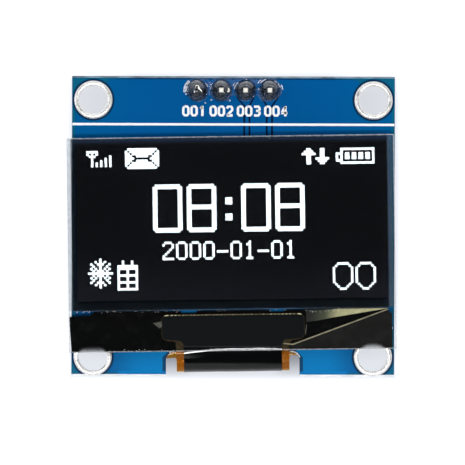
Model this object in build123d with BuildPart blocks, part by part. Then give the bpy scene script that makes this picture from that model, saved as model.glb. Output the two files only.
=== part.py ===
from build123d import *
import os
from math import cos, radians, sin, sqrt

# Small monochrome display module, in millimetres: a blue board with four plated mounting holes, a four-pin header
# soldered from the front, and a glass display panel whose film cable folds through a slot to the board's back.
# X runs to the right, Y towards the header edge and Z out of the display. The origin is the centre of the
# four-hole pattern on the back face of the board.

# Board, sized by its hole pattern and the margins around it
board_t = 1.2
hole_span_x = 29.34
hole_span_y = 26.88
hole_d = 3.0
side_margin = 2.23
header_edge_margin = 2.5
slot_edge_margin = 2.05
score_bevel = 0.2
slot_w = 14.0
slot_depth = 2.54
slot_corner_r = 0.9

# Plated mounting holes
plating_t = 0.05
ring_w = 0.5
ring_lip = 0.03
ring_rise = 0.14
ring_slope_w = 0.17

# Copper under the front mask, and the printed line
foil_t = 0.04
foil_inset = 0.35
foil_gap = 0.22
corner_keepout = 1.45
keepout_chamfer = 0.35
trace_w = 0.35
trace_gap = 0.2
trace_length = 6.8
trace_shifts = (0.14, -0.04)
teardrop_w = 1.5
teardrop_start = 0.75
teardrop_end = 1.6
silk_line_drop = 5.06
silk_line_w = 0.21
silk_t = 0.02

# Header
pin_count = 4
pin_pitch = 2.54
pin_w = 0.64
pin_taper = 0.16
pin_rear_length = 6.0
pin_tip_length = 0.25
pin_row_inset = 1.5
pin_hole_gap = 0.115
housing_h = 2.54
housing_d = 2.5
housing_notch = 0.5
joint_h = 1.2
joint_foot_w = 0.54
joint_wrap = 0.095
joint_belly = 0.66
pad_gap = 0.12

# Display panel. Its own origin is the centre of the lit area, and it is bonded slightly turned on the board.
panel_x = -0.15
panel_y = 0.94
panel_turn = 0.93
glass_w = 34.2
glass_shift = -0.05
glass_above = 8.7
glass_below = 13.6
glass_t = 0.55
cap_below = 9.4
cap_t = 0.55
cap_recess = 0.25
desiccant_t = 0.15
desiccant_gap = 0.4
seal_t = 0.1
seal_inset = 0.1
seal_right_inset = 0.23
seal_gap = 0.1
emitter_side = 0.9
emitter_top_inset = 0.5
emitter_foot_inset = 1.0
emitter_t = 0.05
polarizer_side = 0.62
polarizer_shift = -0.255
polarizer_inset = 0.1
polarizer_t = 0.2
foam_inset = 2.0
foam_t = 0.3

# Film cable: a wide head under the ledge, a neck that folds through the slot, and a wide tail on the back
film_t = 0.1
cover_t = 0.05
ledge_gap = 0.1
head_shoulder_w = 1.45
head_h = 3.13
head_shift = 0.16
head_corner_r = 0.6
shoulder_share = 0.48
neck_gap = 1.1
neck_shift = -0.06
tail_shoulder_w = 4.1
tail_h = 4.79
tail_shoulder_drop = 0.53
tail_corner_r = 0.6
fold_inset = 0.53
crown_gap = 0.1
crown_drop = 0.55
back_drop = 0.5
landing_inset = 0.59
crown_r = 1.6
bend_r = 1.0
landing_r = 1.5
cover_head_margin = 0.06
cover_neck_inset = 0.78
cover_back_run = 1.4
finger_pitch = 0.4
finger_w = 0.2
finger_l = 0.2
finger_margin = 0.04
finger_side = 0.55
chip_l = 10.5
chip_w = 1.2
chip_t = 0.3
chip_drop = 1.7
tail_finger_pitch = 0.62
tail_finger_w = 0.36
tail_finger_l = 1.5
tail_finger_t = 0.04
tail_finger_side = 0.7
tail_finger_inset = 0.15

# Black tape under the ledge, in two pieces, and the beige corner that shows between them. A corner of an outline is
# given by its distance in from the nearer side of the glass and its drop below the top of the head.
tape_t = 0.6
tape_gap = 0.05
seam_gap = 0.14
tape_foot_inset = 0.1
tape_left_top = (0.01, 0.47)
tape_left_shelf = (2.21, 0.39)
tape_left_rise = 2.65
tape_left_foot = 0.23
overlap_top = (0.85, 0.16)
overlap_shoulder = (0.43, 0.6)
seam_foot_offset = 0.39
seam_foot_drop = 3.71
liner_head_gap = 2.95
liner_foot_gap = 1.37
liner_foot_drop = 1.13
liner_t = 0.08

# Parts on the back
mini_l = 1.6
mini_w = 0.8
resistor_h = 0.45
capacitor_h = 0.8
mini_pitch = 3.4
mini_bevel = 0.06
mini_tail_gap = 2.96
mini_row_gap = 4.0
package_row_gap = 6.8
row_count = 6
end_fillet_l = 0.35
end_fillet_h = 0.3
end_fillet_sag = 0.36
regulator_x = -8.6
diode_x = 8.6
decoupling_gap = 2.35
package_lift = 0.08
regulator_size = (2.9, 1.3, 1.0)
diode_size = (1.6, 2.7, 1.1)
package_draft = 7
lead_w = 0.42
lead_t = 0.15
lead_foot = 0.45
lead_reach = 0.55
lead_bend_r = 0.2
regulator_lead_inset = 0.5

# Places that follow from the sizes
board_w = hole_span_x + 2 * side_margin
board_top_y = hole_span_y / 2 + header_edge_margin
board_bottom_y = -hole_span_y / 2 - slot_edge_margin
board_h = board_top_y - board_bottom_y
board_mid_y = (board_top_y + board_bottom_y) / 2
hole_points = [(x * hole_span_x / 2, y * hole_span_y / 2) for y in (1, -1) for x in (-1, 1)]
slot_top_y = board_bottom_y + slot_depth
ring_d = hole_d + 2 * ring_w
pin_row_y = board_top_y - pin_row_inset
pin_diagonal = pin_w * sqrt(2)
pin_hole_d = pin_diagonal + pin_hole_gap
joint_d = pin_hole_d + 2 * joint_foot_w
joint_tip_d = pin_diagonal + joint_wrap
pin_xs = [(index - (pin_count - 1) / 2) * pin_pitch for index in range(pin_count)]
foam_z = board_t + foil_t
cap_z = foam_z + foam_t
seal_z = cap_z + cap_t
seal_w = glass_w - seal_inset - seal_right_inset
seal_shift = glass_shift + (seal_inset - seal_right_inset) / 2
glass_z = seal_z + seal_t
polarizer_z = glass_z + glass_t
film_z = glass_z - cover_t
emitter_w = glass_w - 2 * emitter_side
emitter_above = glass_above - emitter_top_inset
emitter_below = cap_below - emitter_foot_inset
head_top = cap_below + ledge_gap
head_bottom = head_top + head_h
cover_top = head_top + finger_l + 2 * finger_margin
neck_w = slot_w - 2 * neck_gap
head_w = neck_w + 2 * head_shoulder_w
tail_w = neck_w + 2 * tail_shoulder_w
fold_top = glass_below + crown_gap
fold_outer = panel_y - board_bottom_y - fold_inset
landing = panel_y - slot_top_y - landing_inset
tail_shoulder = panel_y - slot_top_y + tail_shoulder_drop
tail_end = panel_y - slot_top_y - tail_h
capacitor_row_y = panel_y - tail_end + mini_tail_gap
resistor_row_y = capacitor_row_y + mini_row_gap
package_row_y = resistor_row_y + package_row_gap
turn_x = (cos(radians(panel_turn)), sin(radians(panel_turn)), 0)
turn_y = (-sin(radians(panel_turn)), cos(radians(panel_turn)), 0)


def panel_plane(height):
    """The panel's own plane at a height above the board's back face."""
    return Plane(origin=(panel_x, panel_y, height), x_dir=turn_x, z_dir=(0, 0, 1))


def panel_side_plane():
    """The panel's side view: its first axis runs up the panel and its second along Z."""
    return Plane(origin=(panel_x, panel_y, 0), x_dir=turn_y, z_dir=turn_x)


def back_plane(x, y):
    """The board's back face at a point, seen from behind."""
    return Plane(origin=(x, y, 0), x_dir=(1, 0, 0), z_dir=(0, 0, -1))


def save(part, name):
    """Labels one finished piece and writes its STEP file."""
    part.label = name
    export_step(part, f"parts/{name}.step")


def strip(above, below, width, shift=0.0):
    """Draws a rectangle in the current sketch between two distances from the panel's origin."""
    with Locations((shift, (above - below) / 2)):
        Rectangle(width, above + below)


os.makedirs("parts", exist_ok=True)

# Circuit board: rectangle with a rounded slot in its lower edge, lined holes and snapped score edges
with BuildPart() as circuit_board:
    with BuildSketch():
        with Locations((0, board_mid_y)):
            Rectangle(board_w, board_h)
        with BuildSketch(mode=Mode.SUBTRACT):
            with Locations((0, board_bottom_y)):
                Rectangle(slot_w, 2 * slot_depth)
            fillet(vertices().group_by(Axis.Y)[-1], slot_corner_r)
        with Locations(*hole_points):
            Circle(hole_d / 2 + plating_t, mode=Mode.SUBTRACT)
        with Locations(*[(x, pin_row_y) for x in pin_xs]):
            Circle(pin_hole_d / 2, mode=Mode.SUBTRACT)
    extrude(amount=board_t)
    long_edges = circuit_board.edges().filter_by(Axis.X)
    score_edges = long_edges.group_by(Axis.Y)[0] + long_edges.group_by(Axis.Y)[-1]
    chamfer(score_edges, score_bevel)
save(circuit_board.part, "circuit_board")

# Hole linings: a tube through the board with a raised, tinned ring on each face
for number, (hole_x, hole_y) in enumerate(hole_points, start=1):
    inner_r = hole_d / 2
    outer_r = ring_d / 2
    crest_z = board_t + ring_rise
    with BuildPart() as ring:
        with BuildSketch(Plane(origin=(hole_x, hole_y, 0), x_dir=(1, 0, 0), z_dir=(0, -1, 0))):
            with BuildLine():
                Polyline(
                    (inner_r, -ring_lip),
                    (inner_r, board_t + ring_lip),
                    (inner_r + ring_slope_w, crest_z),
                    (outer_r - ring_slope_w, crest_z),
                    (outer_r, board_t),
                    (inner_r + plating_t, board_t),
                    (inner_r + plating_t, 0),
                    (outer_r, 0),
                    (outer_r - ring_slope_w, -ring_rise),
                    (inner_r + ring_slope_w, -ring_rise),
                    close=True,
                )
            make_face()
        revolve(axis=Axis((hole_x, hole_y, 0), (0, 0, 1)))
    save(ring.part, f"mounting_ring_{number}")

# Copper pour: inset from every edge, cut back at the corners and clear of rings, joints and traces
trace_foot_y = pin_row_y - joint_d / 2 - trace_length
traces = [(x, x + shift) for x, shift in zip(pin_xs[-2:], trace_shifts)]


def trace_plan(pin_x, trace_x, margin):
    """Draws one trace with its teardrop at the joint, grown by a margin."""
    half_w = trace_w / 2 + margin
    half_drop = teardrop_w / 2 + margin
    start_y = pin_row_y - teardrop_start
    end_y = pin_row_y - teardrop_end
    Polygon(
        (pin_x - half_drop, start_y),
        (trace_x - half_w, end_y),
        (trace_x - half_w, trace_foot_y - margin),
        (trace_x + half_w, trace_foot_y - margin),
        (trace_x + half_w, end_y),
        (pin_x + half_drop, start_y),
        align=None,
    )


keepout_x = board_w / 2 - hole_span_x / 2 + corner_keepout
with BuildPart() as front_pour:
    with BuildSketch(Plane.XY.offset(board_t)):
        with Locations((0, board_mid_y)):
            Rectangle(board_w - 2 * foil_inset, board_h - 2 * foil_inset)
        with Locations(*[(x * board_w / 2, board_top_y) for x in (-1, 1)]):
            Rectangle(2 * keepout_x, 2 * header_edge_margin, mode=Mode.SUBTRACT)
        with Locations(*[(x * board_w / 2, board_bottom_y) for x in (-1, 1)]):
            Rectangle(2 * keepout_x, 2 * slot_edge_margin, mode=Mode.SUBTRACT)
        chamfer(vertices().group_by(Axis.Y)[-1] + vertices().group_by(Axis.Y)[0], keepout_chamfer)
        with BuildSketch(mode=Mode.SUBTRACT):
            with Locations((0, board_bottom_y)):
                Rectangle(slot_w + 2 * foil_inset, 2 * (slot_depth + foil_inset))
            chamfer(vertices().group_by(Axis.Y)[-1], slot_corner_r)
        with Locations(*hole_points):
            Circle(ring_d / 2 + foil_gap, mode=Mode.SUBTRACT)
        with Locations(*[(x, pin_row_y) for x in pin_xs]):
            Circle(joint_d / 2 + pad_gap, mode=Mode.SUBTRACT)
        with BuildSketch(mode=Mode.SUBTRACT):
            for pin_x, trace_x in traces:
                trace_plan(pin_x, trace_x, trace_gap)
    extrude(amount=foil_t)
save(front_pour.part, "front_pour")

for number, (pin_x, trace_x) in enumerate(traces, start=1):
    with BuildPart() as signal_trace:
        with BuildSketch(Plane.XY.offset(board_t)):
            trace_plan(pin_x, trace_x, 0)
            with Locations((pin_x, pin_row_y)):
                Circle(joint_d / 2, mode=Mode.SUBTRACT)
        extrude(amount=foil_t)
    save(signal_trace.part, f"signal_trace_{number}")

with BuildPart() as silk_line:
    with BuildSketch(Plane.XY.offset(board_t + foil_t)):
        with Locations((0, board_top_y - silk_line_drop)):
            Rectangle(board_w, silk_line_w)
    extrude(amount=silk_t)
save(silk_line.part, "silk_line")

# Header: a notched insulator behind the board, square pins through it, and a solder joint on each pin
notch_xs = [(left + right) / 2 for left, right in zip(pin_xs, pin_xs[1:])]
with BuildPart() as header_housing:
    with BuildSketch(back_plane(0, pin_row_y)):
        with Locations(*[(x, 0) for x in pin_xs]):
            Rectangle(pin_pitch, housing_d)
        with Locations(*[(x, side * housing_d / 2) for x in notch_xs for side in (-1, 1)]):
            Rectangle(housing_notch, housing_notch, rotation=45, mode=Mode.SUBTRACT)
        with Locations(*[(x, 0) for x in pin_xs]):
            Rectangle(pin_w, pin_w, mode=Mode.SUBTRACT)
    extrude(amount=housing_h)
save(header_housing.part, "header_housing")

pin_bottom_z = -housing_h - pin_rear_length
pin_length = board_t + joint_h + pin_tip_length - pin_bottom_z
for number, pin_x in enumerate(pin_xs, start=1):
    with BuildPart() as header_pin:
        with BuildSketch(Plane(origin=(pin_x, pin_row_y, pin_bottom_z))):
            Rectangle(pin_w, pin_w)
        extrude(amount=pin_length)
        ends = header_pin.faces().sort_by(Axis.Z)
        chamfer(ends[0].edges() + ends[-1].edges(), pin_taper)
    save(header_pin.part, f"header_pin_{number}")

    # The joint fills the pin hole, covers its pad and rises in two slopes to the pin's tip.
    pad_r = joint_d / 2
    tip_r = joint_tip_d / 2
    belly_r = tip_r + (pad_r - tip_r) * joint_belly
    belly_z = board_t + joint_h * joint_belly
    top_z = board_t + joint_h
    with BuildPart() as solder_joint:
        with BuildSketch(Plane(origin=(pin_x, pin_row_y, 0), x_dir=(1, 0, 0), z_dir=(0, -1, 0))):
            with BuildLine():
                Polyline(
                    (0, top_z),
                    (0, 0),
                    (pin_hole_d / 2, 0),
                    (pin_hole_d / 2, board_t),
                    (pad_r, board_t),
                    (belly_r, belly_z),
                    (tip_r, top_z),
                    close=True,
                )
            make_face()
        revolve(axis=Axis((pin_x, pin_row_y, 0), (0, 0, 1)))
        with BuildSketch(Plane(origin=(pin_x, pin_row_y, 0))):
            Rectangle(pin_w, pin_w)
        extrude(amount=top_z, mode=Mode.SUBTRACT)
    save(solder_joint.part, f"solder_joint_{number}")

# Display panel, from the board up: foam tape, recessed cap glass, seal, emitting film, front glass, polarizer
with BuildPart() as mounting_pad:
    with BuildSketch(panel_plane(foam_z)):
        strip(glass_above - foam_inset, cap_below - foam_inset, glass_w - 2 * foam_inset, glass_shift)
    extrude(amount=foam_t)
save(mounting_pad.part, "mounting_pad")

with BuildPart() as cap_glass:
    with BuildSketch(panel_plane(cap_z)):
        strip(glass_above, cap_below, glass_w, glass_shift)
    extrude(amount=cap_t)
    with BuildSketch(panel_plane(seal_z)):
        strip(emitter_above, emitter_below, emitter_w)
    extrude(amount=-cap_recess, mode=Mode.SUBTRACT)
save(cap_glass.part, "cap_glass")

with BuildPart() as desiccant_sheet:
    with BuildSketch(panel_plane(seal_z - cap_recess)):
        strip(emitter_above - desiccant_gap, emitter_below - desiccant_gap, emitter_w - 2 * desiccant_gap)
    extrude(amount=desiccant_t)
save(desiccant_sheet.part, "desiccant_sheet")

with BuildPart() as seal_frame:
    with BuildSketch(panel_plane(seal_z)):
        strip(glass_above - seal_inset, cap_below - seal_inset, seal_w, seal_shift)
        with BuildSketch(mode=Mode.SUBTRACT):
            strip(emitter_above + seal_gap, emitter_below + seal_gap, emitter_w + 2 * seal_gap)
    extrude(amount=seal_t)
save(seal_frame.part, "seal_frame")

with BuildPart() as emitter_film:
    with BuildSketch(panel_plane(glass_z)):
        strip(emitter_above, emitter_below, emitter_w)
    extrude(amount=-emitter_t)
save(emitter_film.part, "emitter_film")

with BuildPart() as display_glass:
    with BuildSketch(panel_plane(glass_z)):
        strip(glass_above, glass_below, glass_w, glass_shift)
    extrude(amount=glass_t)
save(display_glass.part, "display_glass")

with BuildPart() as polarizer:
    with BuildSketch(panel_plane(polarizer_z)):
        strip(glass_above - polarizer_inset, cap_below, glass_w - 2 * polarizer_side, polarizer_shift)
    extrude(amount=polarizer_t)
save(polarizer.part, "polarizer")


def film_route(top, back_end):
    """The line between film and cover, from the head round the fold to a point on the back."""
    crown_foot_z = film_z - crown_drop
    turn_r = min(bend_r, (crown_foot_z + back_drop) / 2)
    back_rise = (back_drop - film_t) / (fold_outer - landing)
    corners = [
        (-top, film_z),
        (-fold_top, film_z),
        (-fold_outer, crown_foot_z),
        (-fold_outer, -back_drop),
    ]
    radii = [crown_r, turn_r, turn_r]
    if back_end < landing:
        corners += [(-landing, -film_t), (-back_end, -film_t)]
        radii.append(landing_r)
    else:
        corners.append((-back_end, -film_t - (back_end - landing) * back_rise))
    return FilletPolyline(*corners, radius=radii)


def film_plan(width, shift, top, bottom, neck, corner_r):
    """Draws a wide stretch and the straight neck below it, with its six corners rounded."""
    neck_end = fold_outer + film_t
    with Locations((shift, -(top + bottom) / 2)):
        Rectangle(width, bottom - top)
    with Locations((neck_shift, -(top + neck_end) / 2)):
        Rectangle(neck, neck_end - top)
    shoulder = (width - neck) / 2 - abs(shift - neck_shift)
    rows = vertices().group_by(Axis.Y)
    fillet(rows[1] + rows[2], min(corner_r, shoulder * shoulder_share))


# Film cable: one folded strip, trimmed to head and neck in front of the board and to neck and tail behind it
fold_mid_z = board_t / 2
trim_size = board_w + board_h
with BuildPart() as flex_cable:
    with BuildSketch(panel_side_plane()):
        with BuildLine():
            film_route(head_top, tail_end)
            offset(amount=film_t, side=Side.LEFT)
        make_face()
    extrude(amount=tail_w, both=True)
    with BuildSketch(panel_plane(fold_mid_z)):
        Rectangle(trim_size, trim_size)
        with BuildSketch(mode=Mode.SUBTRACT):
            film_plan(head_w, head_shift, head_top, head_bottom, neck_w, head_corner_r)
    extrude(amount=trim_size, mode=Mode.SUBTRACT)
    with BuildSketch(panel_plane(fold_mid_z)):
        Rectangle(trim_size, trim_size)
        with BuildSketch(mode=Mode.SUBTRACT):
            film_plan(tail_w, neck_shift, tail_end, tail_shoulder, neck_w, tail_corner_r)
    extrude(amount=-trim_size, mode=Mode.SUBTRACT)
save(flex_cable.part, "flex_cable")

cover_w = head_w - 2 * cover_head_margin
cover_neck_w = neck_w - 2 * cover_neck_inset
with BuildPart() as flex_cover:
    with BuildSketch(panel_side_plane()):
        with BuildLine():
            film_route(cover_top, fold_outer - cover_back_run)
            offset(amount=cover_t, side=Side.RIGHT)
        make_face()
    extrude(amount=tail_w, both=True)
    with BuildSketch(panel_plane(fold_mid_z)):
        Rectangle(trim_size, trim_size)
        with BuildSketch(mode=Mode.SUBTRACT):
            film_plan(cover_w, head_shift, cover_top, head_bottom - cover_head_margin, cover_neck_w, head_corner_r)
    extrude(amount=trim_size, both=True, mode=Mode.SUBTRACT)
save(flex_cover.part, "flex_cover")

finger_count = round((head_w - 2 * finger_side) / finger_pitch)
with BuildPart() as bond_fingers:
    with BuildSketch(panel_plane(film_z)):
        with Locations((head_shift, -head_top - finger_margin - finger_l / 2)):
            with GridLocations(finger_pitch, 0, finger_count, 1):
                Rectangle(finger_w, finger_l)
    extrude(amount=cover_t)
save(bond_fingers.part, "bond_fingers")

tail_finger_count = round((tail_w - 2 * tail_finger_side) / tail_finger_pitch)
with BuildPart() as tail_fingers:
    with BuildSketch(panel_plane(-film_t)):
        with Locations((neck_shift, -tail_end - tail_finger_inset - tail_finger_l / 2)):
            with GridLocations(tail_finger_pitch, 0, tail_finger_count, 1):
                Rectangle(tail_finger_w, tail_finger_l)
    extrude(amount=-tail_finger_t)
save(tail_fingers.part, "tail_fingers")

with BuildPart() as driver_chip:
    with BuildSketch(panel_plane(film_z - film_t)):
        with Locations((head_shift, -head_top - chip_drop)):
            Rectangle(chip_l, chip_w)
    extrude(amount=-chip_t)
save(driver_chip.part, "driver_chip")

# Black tape under the ledge: the main piece holds the film's head, the second one has the slanted edge
glass_left = glass_shift - glass_w / 2
glass_right = glass_shift + glass_w / 2
neck_right = neck_shift + neck_w / 2
tape_foot_y = tape_foot_inset - glass_below
seam_top = (glass_right - overlap_top[0], -head_top - overlap_top[1])
seam_foot = (neck_right + seam_foot_offset, -head_top - seam_foot_drop)
overlap_right = glass_right - overlap_shoulder[0]
overlap_left = neck_right + tape_gap + seam_gap
head_right = head_shift + head_w / 2
liner_corner_left = (head_right + liner_head_gap, -head_top)
liner_corner_foot = (head_right + liner_foot_gap, -head_top - liner_foot_drop)
liner_outline = [liner_corner_left, (seam_top[0], -head_top), liner_corner_foot]
overlap_outline = [
    seam_top,
    (overlap_right, -head_top - overlap_shoulder[1]),
    (overlap_right, tape_foot_y),
    (overlap_left, tape_foot_y),
    (overlap_left, seam_foot[1]),
    seam_foot,
]
shield_outline = [
    (glass_left + tape_left_top[0], -head_top - tape_left_top[1]),
    (glass_left + tape_left_shelf[0], -head_top - tape_left_shelf[1]),
    (glass_left + tape_left_rise, -head_top),
    liner_corner_left,
    liner_corner_foot,
    seam_top,
    seam_foot,
    (neck_right + tape_gap, seam_foot[1]),
    (neck_right + tape_gap, tape_foot_y),
    (glass_left + tape_left_foot, tape_foot_y),
]
with BuildPart() as shield_tape:
    with BuildSketch(panel_plane(glass_z)):
        Polygon(*shield_outline, align=None)
        with BuildSketch(mode=Mode.SUBTRACT):
            Polygon(*liner_outline, align=None)
            offset(amount=tape_gap, kind=Kind.INTERSECTION)
        with BuildSketch(mode=Mode.SUBTRACT):
            Polygon(*overlap_outline, align=None)
            offset(amount=seam_gap, kind=Kind.INTERSECTION)
    extrude(amount=-tape_t)
    with BuildSketch(panel_plane(glass_z)):
        film_plan(
            head_w + 2 * tape_gap,
            head_shift,
            head_top - tape_gap,
            head_bottom + tape_gap,
            neck_w + 2 * tape_gap,
            head_corner_r,
        )
    extrude(amount=-cover_t - film_t, mode=Mode.SUBTRACT)
    with BuildSketch(panel_plane(glass_z)):
        with Locations((head_shift, -head_top - chip_drop)):
            Rectangle(chip_l + 2 * tape_gap, chip_w + 2 * tape_gap)
    extrude(amount=-cover_t - film_t - chip_t, mode=Mode.SUBTRACT)
save(shield_tape.part, "shield_tape")

with BuildPart() as overlap_tape:
    with BuildSketch(panel_plane(glass_z)):
        Polygon(*overlap_outline, align=None)
    extrude(amount=-tape_t)
save(overlap_tape.part, "overlap_tape")

with BuildPart() as liner_corner:
    with BuildSketch(panel_plane(glass_z)):
        Polygon(*liner_outline, align=None)
    extrude(amount=-liner_t)
save(liner_corner.part, "liner_corner")


def end_plane(x, y, side):
    """Side view of a part's end on the back: the first axis points away from it, the second away from the board."""
    return Plane(origin=(x, y, 0), x_dir=(0, side, 0), z_dir=(-side, 0, 0))


def save_package(name, x, size, leads_above, leads_below):
    """Builds a moulded package on the back, with its body and its bent leads as two nodes."""
    width, depth, height = size
    exit_h = package_lift + height / 2 - lead_t / 2
    with BuildPart() as body:
        with BuildSketch(back_plane(x, package_row_y).offset(package_lift + height / 2)):
            Rectangle(width, depth)
        extrude(amount=height / 2, both=True, taper=package_draft)
    save(body.part, f"{name}_body")
    with BuildPart() as leads:
        for side, offsets in ((1, leads_above), (-1, leads_below)):
            for lead_x in offsets:
                with BuildSketch(end_plane(x + lead_x, package_row_y + side * depth / 2, side)):
                    with BuildLine():
                        FilletPolyline(
                            (0, exit_h),
                            (lead_reach / 2, exit_h),
                            (lead_reach, 0),
                            (lead_reach + lead_foot, 0),
                            radius=lead_bend_r,
                        )
                        offset(amount=lead_t, side=Side.LEFT)
                    make_face()
                extrude(amount=lead_w / 2, both=True)
    save(leads.part, f"{name}_leads")


regulator_lead_x = regulator_size[0] / 2 - regulator_lead_inset
save_package("regulator", regulator_x, regulator_size, (0,), (-regulator_lead_x, regulator_lead_x))
save_package("diode", diode_x, diode_size, (0,), (0,))

# Chip resistors and capacitors in two rows, and two more capacitors beside the regulator
row_xs = [(index - (row_count - 1) / 2) * mini_pitch for index in range(row_count)]
decoupling_offset = regulator_size[0] / 2 + decoupling_gap + mini_w / 2
beside_xs = [regulator_x - decoupling_offset, regulator_x + decoupling_offset]
resistors = [(x, resistor_row_y) for x in row_xs]
capacitors = [(x, capacitor_row_y) for x in row_xs] + [(x, package_row_y) for x in beside_xs]
for name, places, height in (("resistor", resistors, resistor_h), ("capacitor", capacitors, capacitor_h)):
    for number, (mini_x, mini_y) in enumerate(places, start=1):
        with BuildPart() as mini:
            with BuildSketch(back_plane(mini_x, mini_y)):
                Rectangle(mini_w, mini_l)
            extrude(amount=height)
            chamfer(mini.faces().sort_by(Axis.Z)[0].edges(), mini_bevel)
        save(mini.part, f"{name}_{number}")

with BuildPart() as chip_solder:
    for mini_x, mini_y in resistors + capacitors:
        for side in (1, -1):
            with BuildSketch(end_plane(mini_x, mini_y + side * mini_l / 2, side)):
                with BuildLine():
                    Polyline((0, end_fillet_h), (0, 0), (end_fillet_l, 0))
                    ThreePointArc(
                        (end_fillet_l, 0),
                        (end_fillet_l * end_fillet_sag, end_fillet_h * end_fillet_sag),
                        (0, end_fillet_h),
                    )
                make_face()
            extrude(amount=mini_w / 2, both=True)
save(chip_solder.part, "chip_solder")
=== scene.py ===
"""Looks for a small monochrome display module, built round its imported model.

Sizes are in millimetres in the classes and become metres where a mesh is made.
"""

import logging
import math
import random
from dataclasses import dataclass, field
from enum import Enum
from typing import Callable, Iterable, Sequence

import bmesh
import bpy
from mathutils import Matrix, Vector


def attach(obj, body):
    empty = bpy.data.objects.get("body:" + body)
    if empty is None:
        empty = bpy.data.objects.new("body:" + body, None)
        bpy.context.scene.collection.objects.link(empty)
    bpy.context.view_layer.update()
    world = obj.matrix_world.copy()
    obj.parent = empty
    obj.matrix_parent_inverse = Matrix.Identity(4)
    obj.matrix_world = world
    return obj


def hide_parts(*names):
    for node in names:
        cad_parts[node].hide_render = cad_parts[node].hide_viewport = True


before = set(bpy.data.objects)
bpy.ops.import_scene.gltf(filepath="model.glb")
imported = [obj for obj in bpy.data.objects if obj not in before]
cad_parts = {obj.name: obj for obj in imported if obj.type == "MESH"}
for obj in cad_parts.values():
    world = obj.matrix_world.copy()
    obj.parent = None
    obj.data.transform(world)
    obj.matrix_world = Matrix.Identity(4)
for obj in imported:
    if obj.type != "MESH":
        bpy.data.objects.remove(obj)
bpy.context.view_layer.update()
MM = 0.001
PANEL_SLOPE = math.tan(math.radians(0.93))
LOG = logging.getLogger("display_module")
Color = tuple[float, float, float, float]
Point2 = tuple[float, float]
Socket = bpy.types.NodeSocket
Mesh = bpy.types.Mesh
Material = bpy.types.Material
Piece = bpy.types.Object
Placing = Callable[[float, float, float], Vector]


def srgb(red: float, green: float, blue: float) -> Color:
    """Turns an 8-bit screen colour into the linear colour that shaders take.

    Args:
        red, green, blue: channels from 0 to 255.

    Returns:
        The linear colour with full alpha.
    """
    linear = []
    for channel in (red, green, blue):
        share = channel / 255
        linear.append(share / 12.92 if share <= 0.04045 else ((share + 0.055) / 1.055) ** 2.4)
    return (linear[0], linear[1], linear[2], 1.0)


def toned(color: Color, share: float) -> Color:
    """Returns a colour made lighter or darker by a share, kept within range."""
    return (min(color[0] * share, 1), min(color[1] * share, 1), min(color[2] * share, 1), 1.0)


class Axis3(Enum):
    """One axis of a coordinate, by its output on a Separate XYZ node."""

    X = 0
    Y = 1
    Z = 2


def add_node(
    tree: bpy.types.NodeTree, kind: str, inputs: dict | None = None, **settings: object
) -> bpy.types.Node:
    """Adds one node to a tree.

    Args:
        tree: the tree that it goes into.
        kind: the node's type name.
        inputs: values or sockets for its inputs, by name or number.
        settings: properties of the node itself.

    Returns:
        The new node.
    """
    node = tree.nodes.new(kind)
    for key, value in settings.items():
        setattr(node, key, value)
    for key, value in (inputs or {}).items():
        if isinstance(value, Socket):
            tree.links.new(value, node.inputs[key])
        else:
            node.inputs[key].default_value = value
    return node


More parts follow.
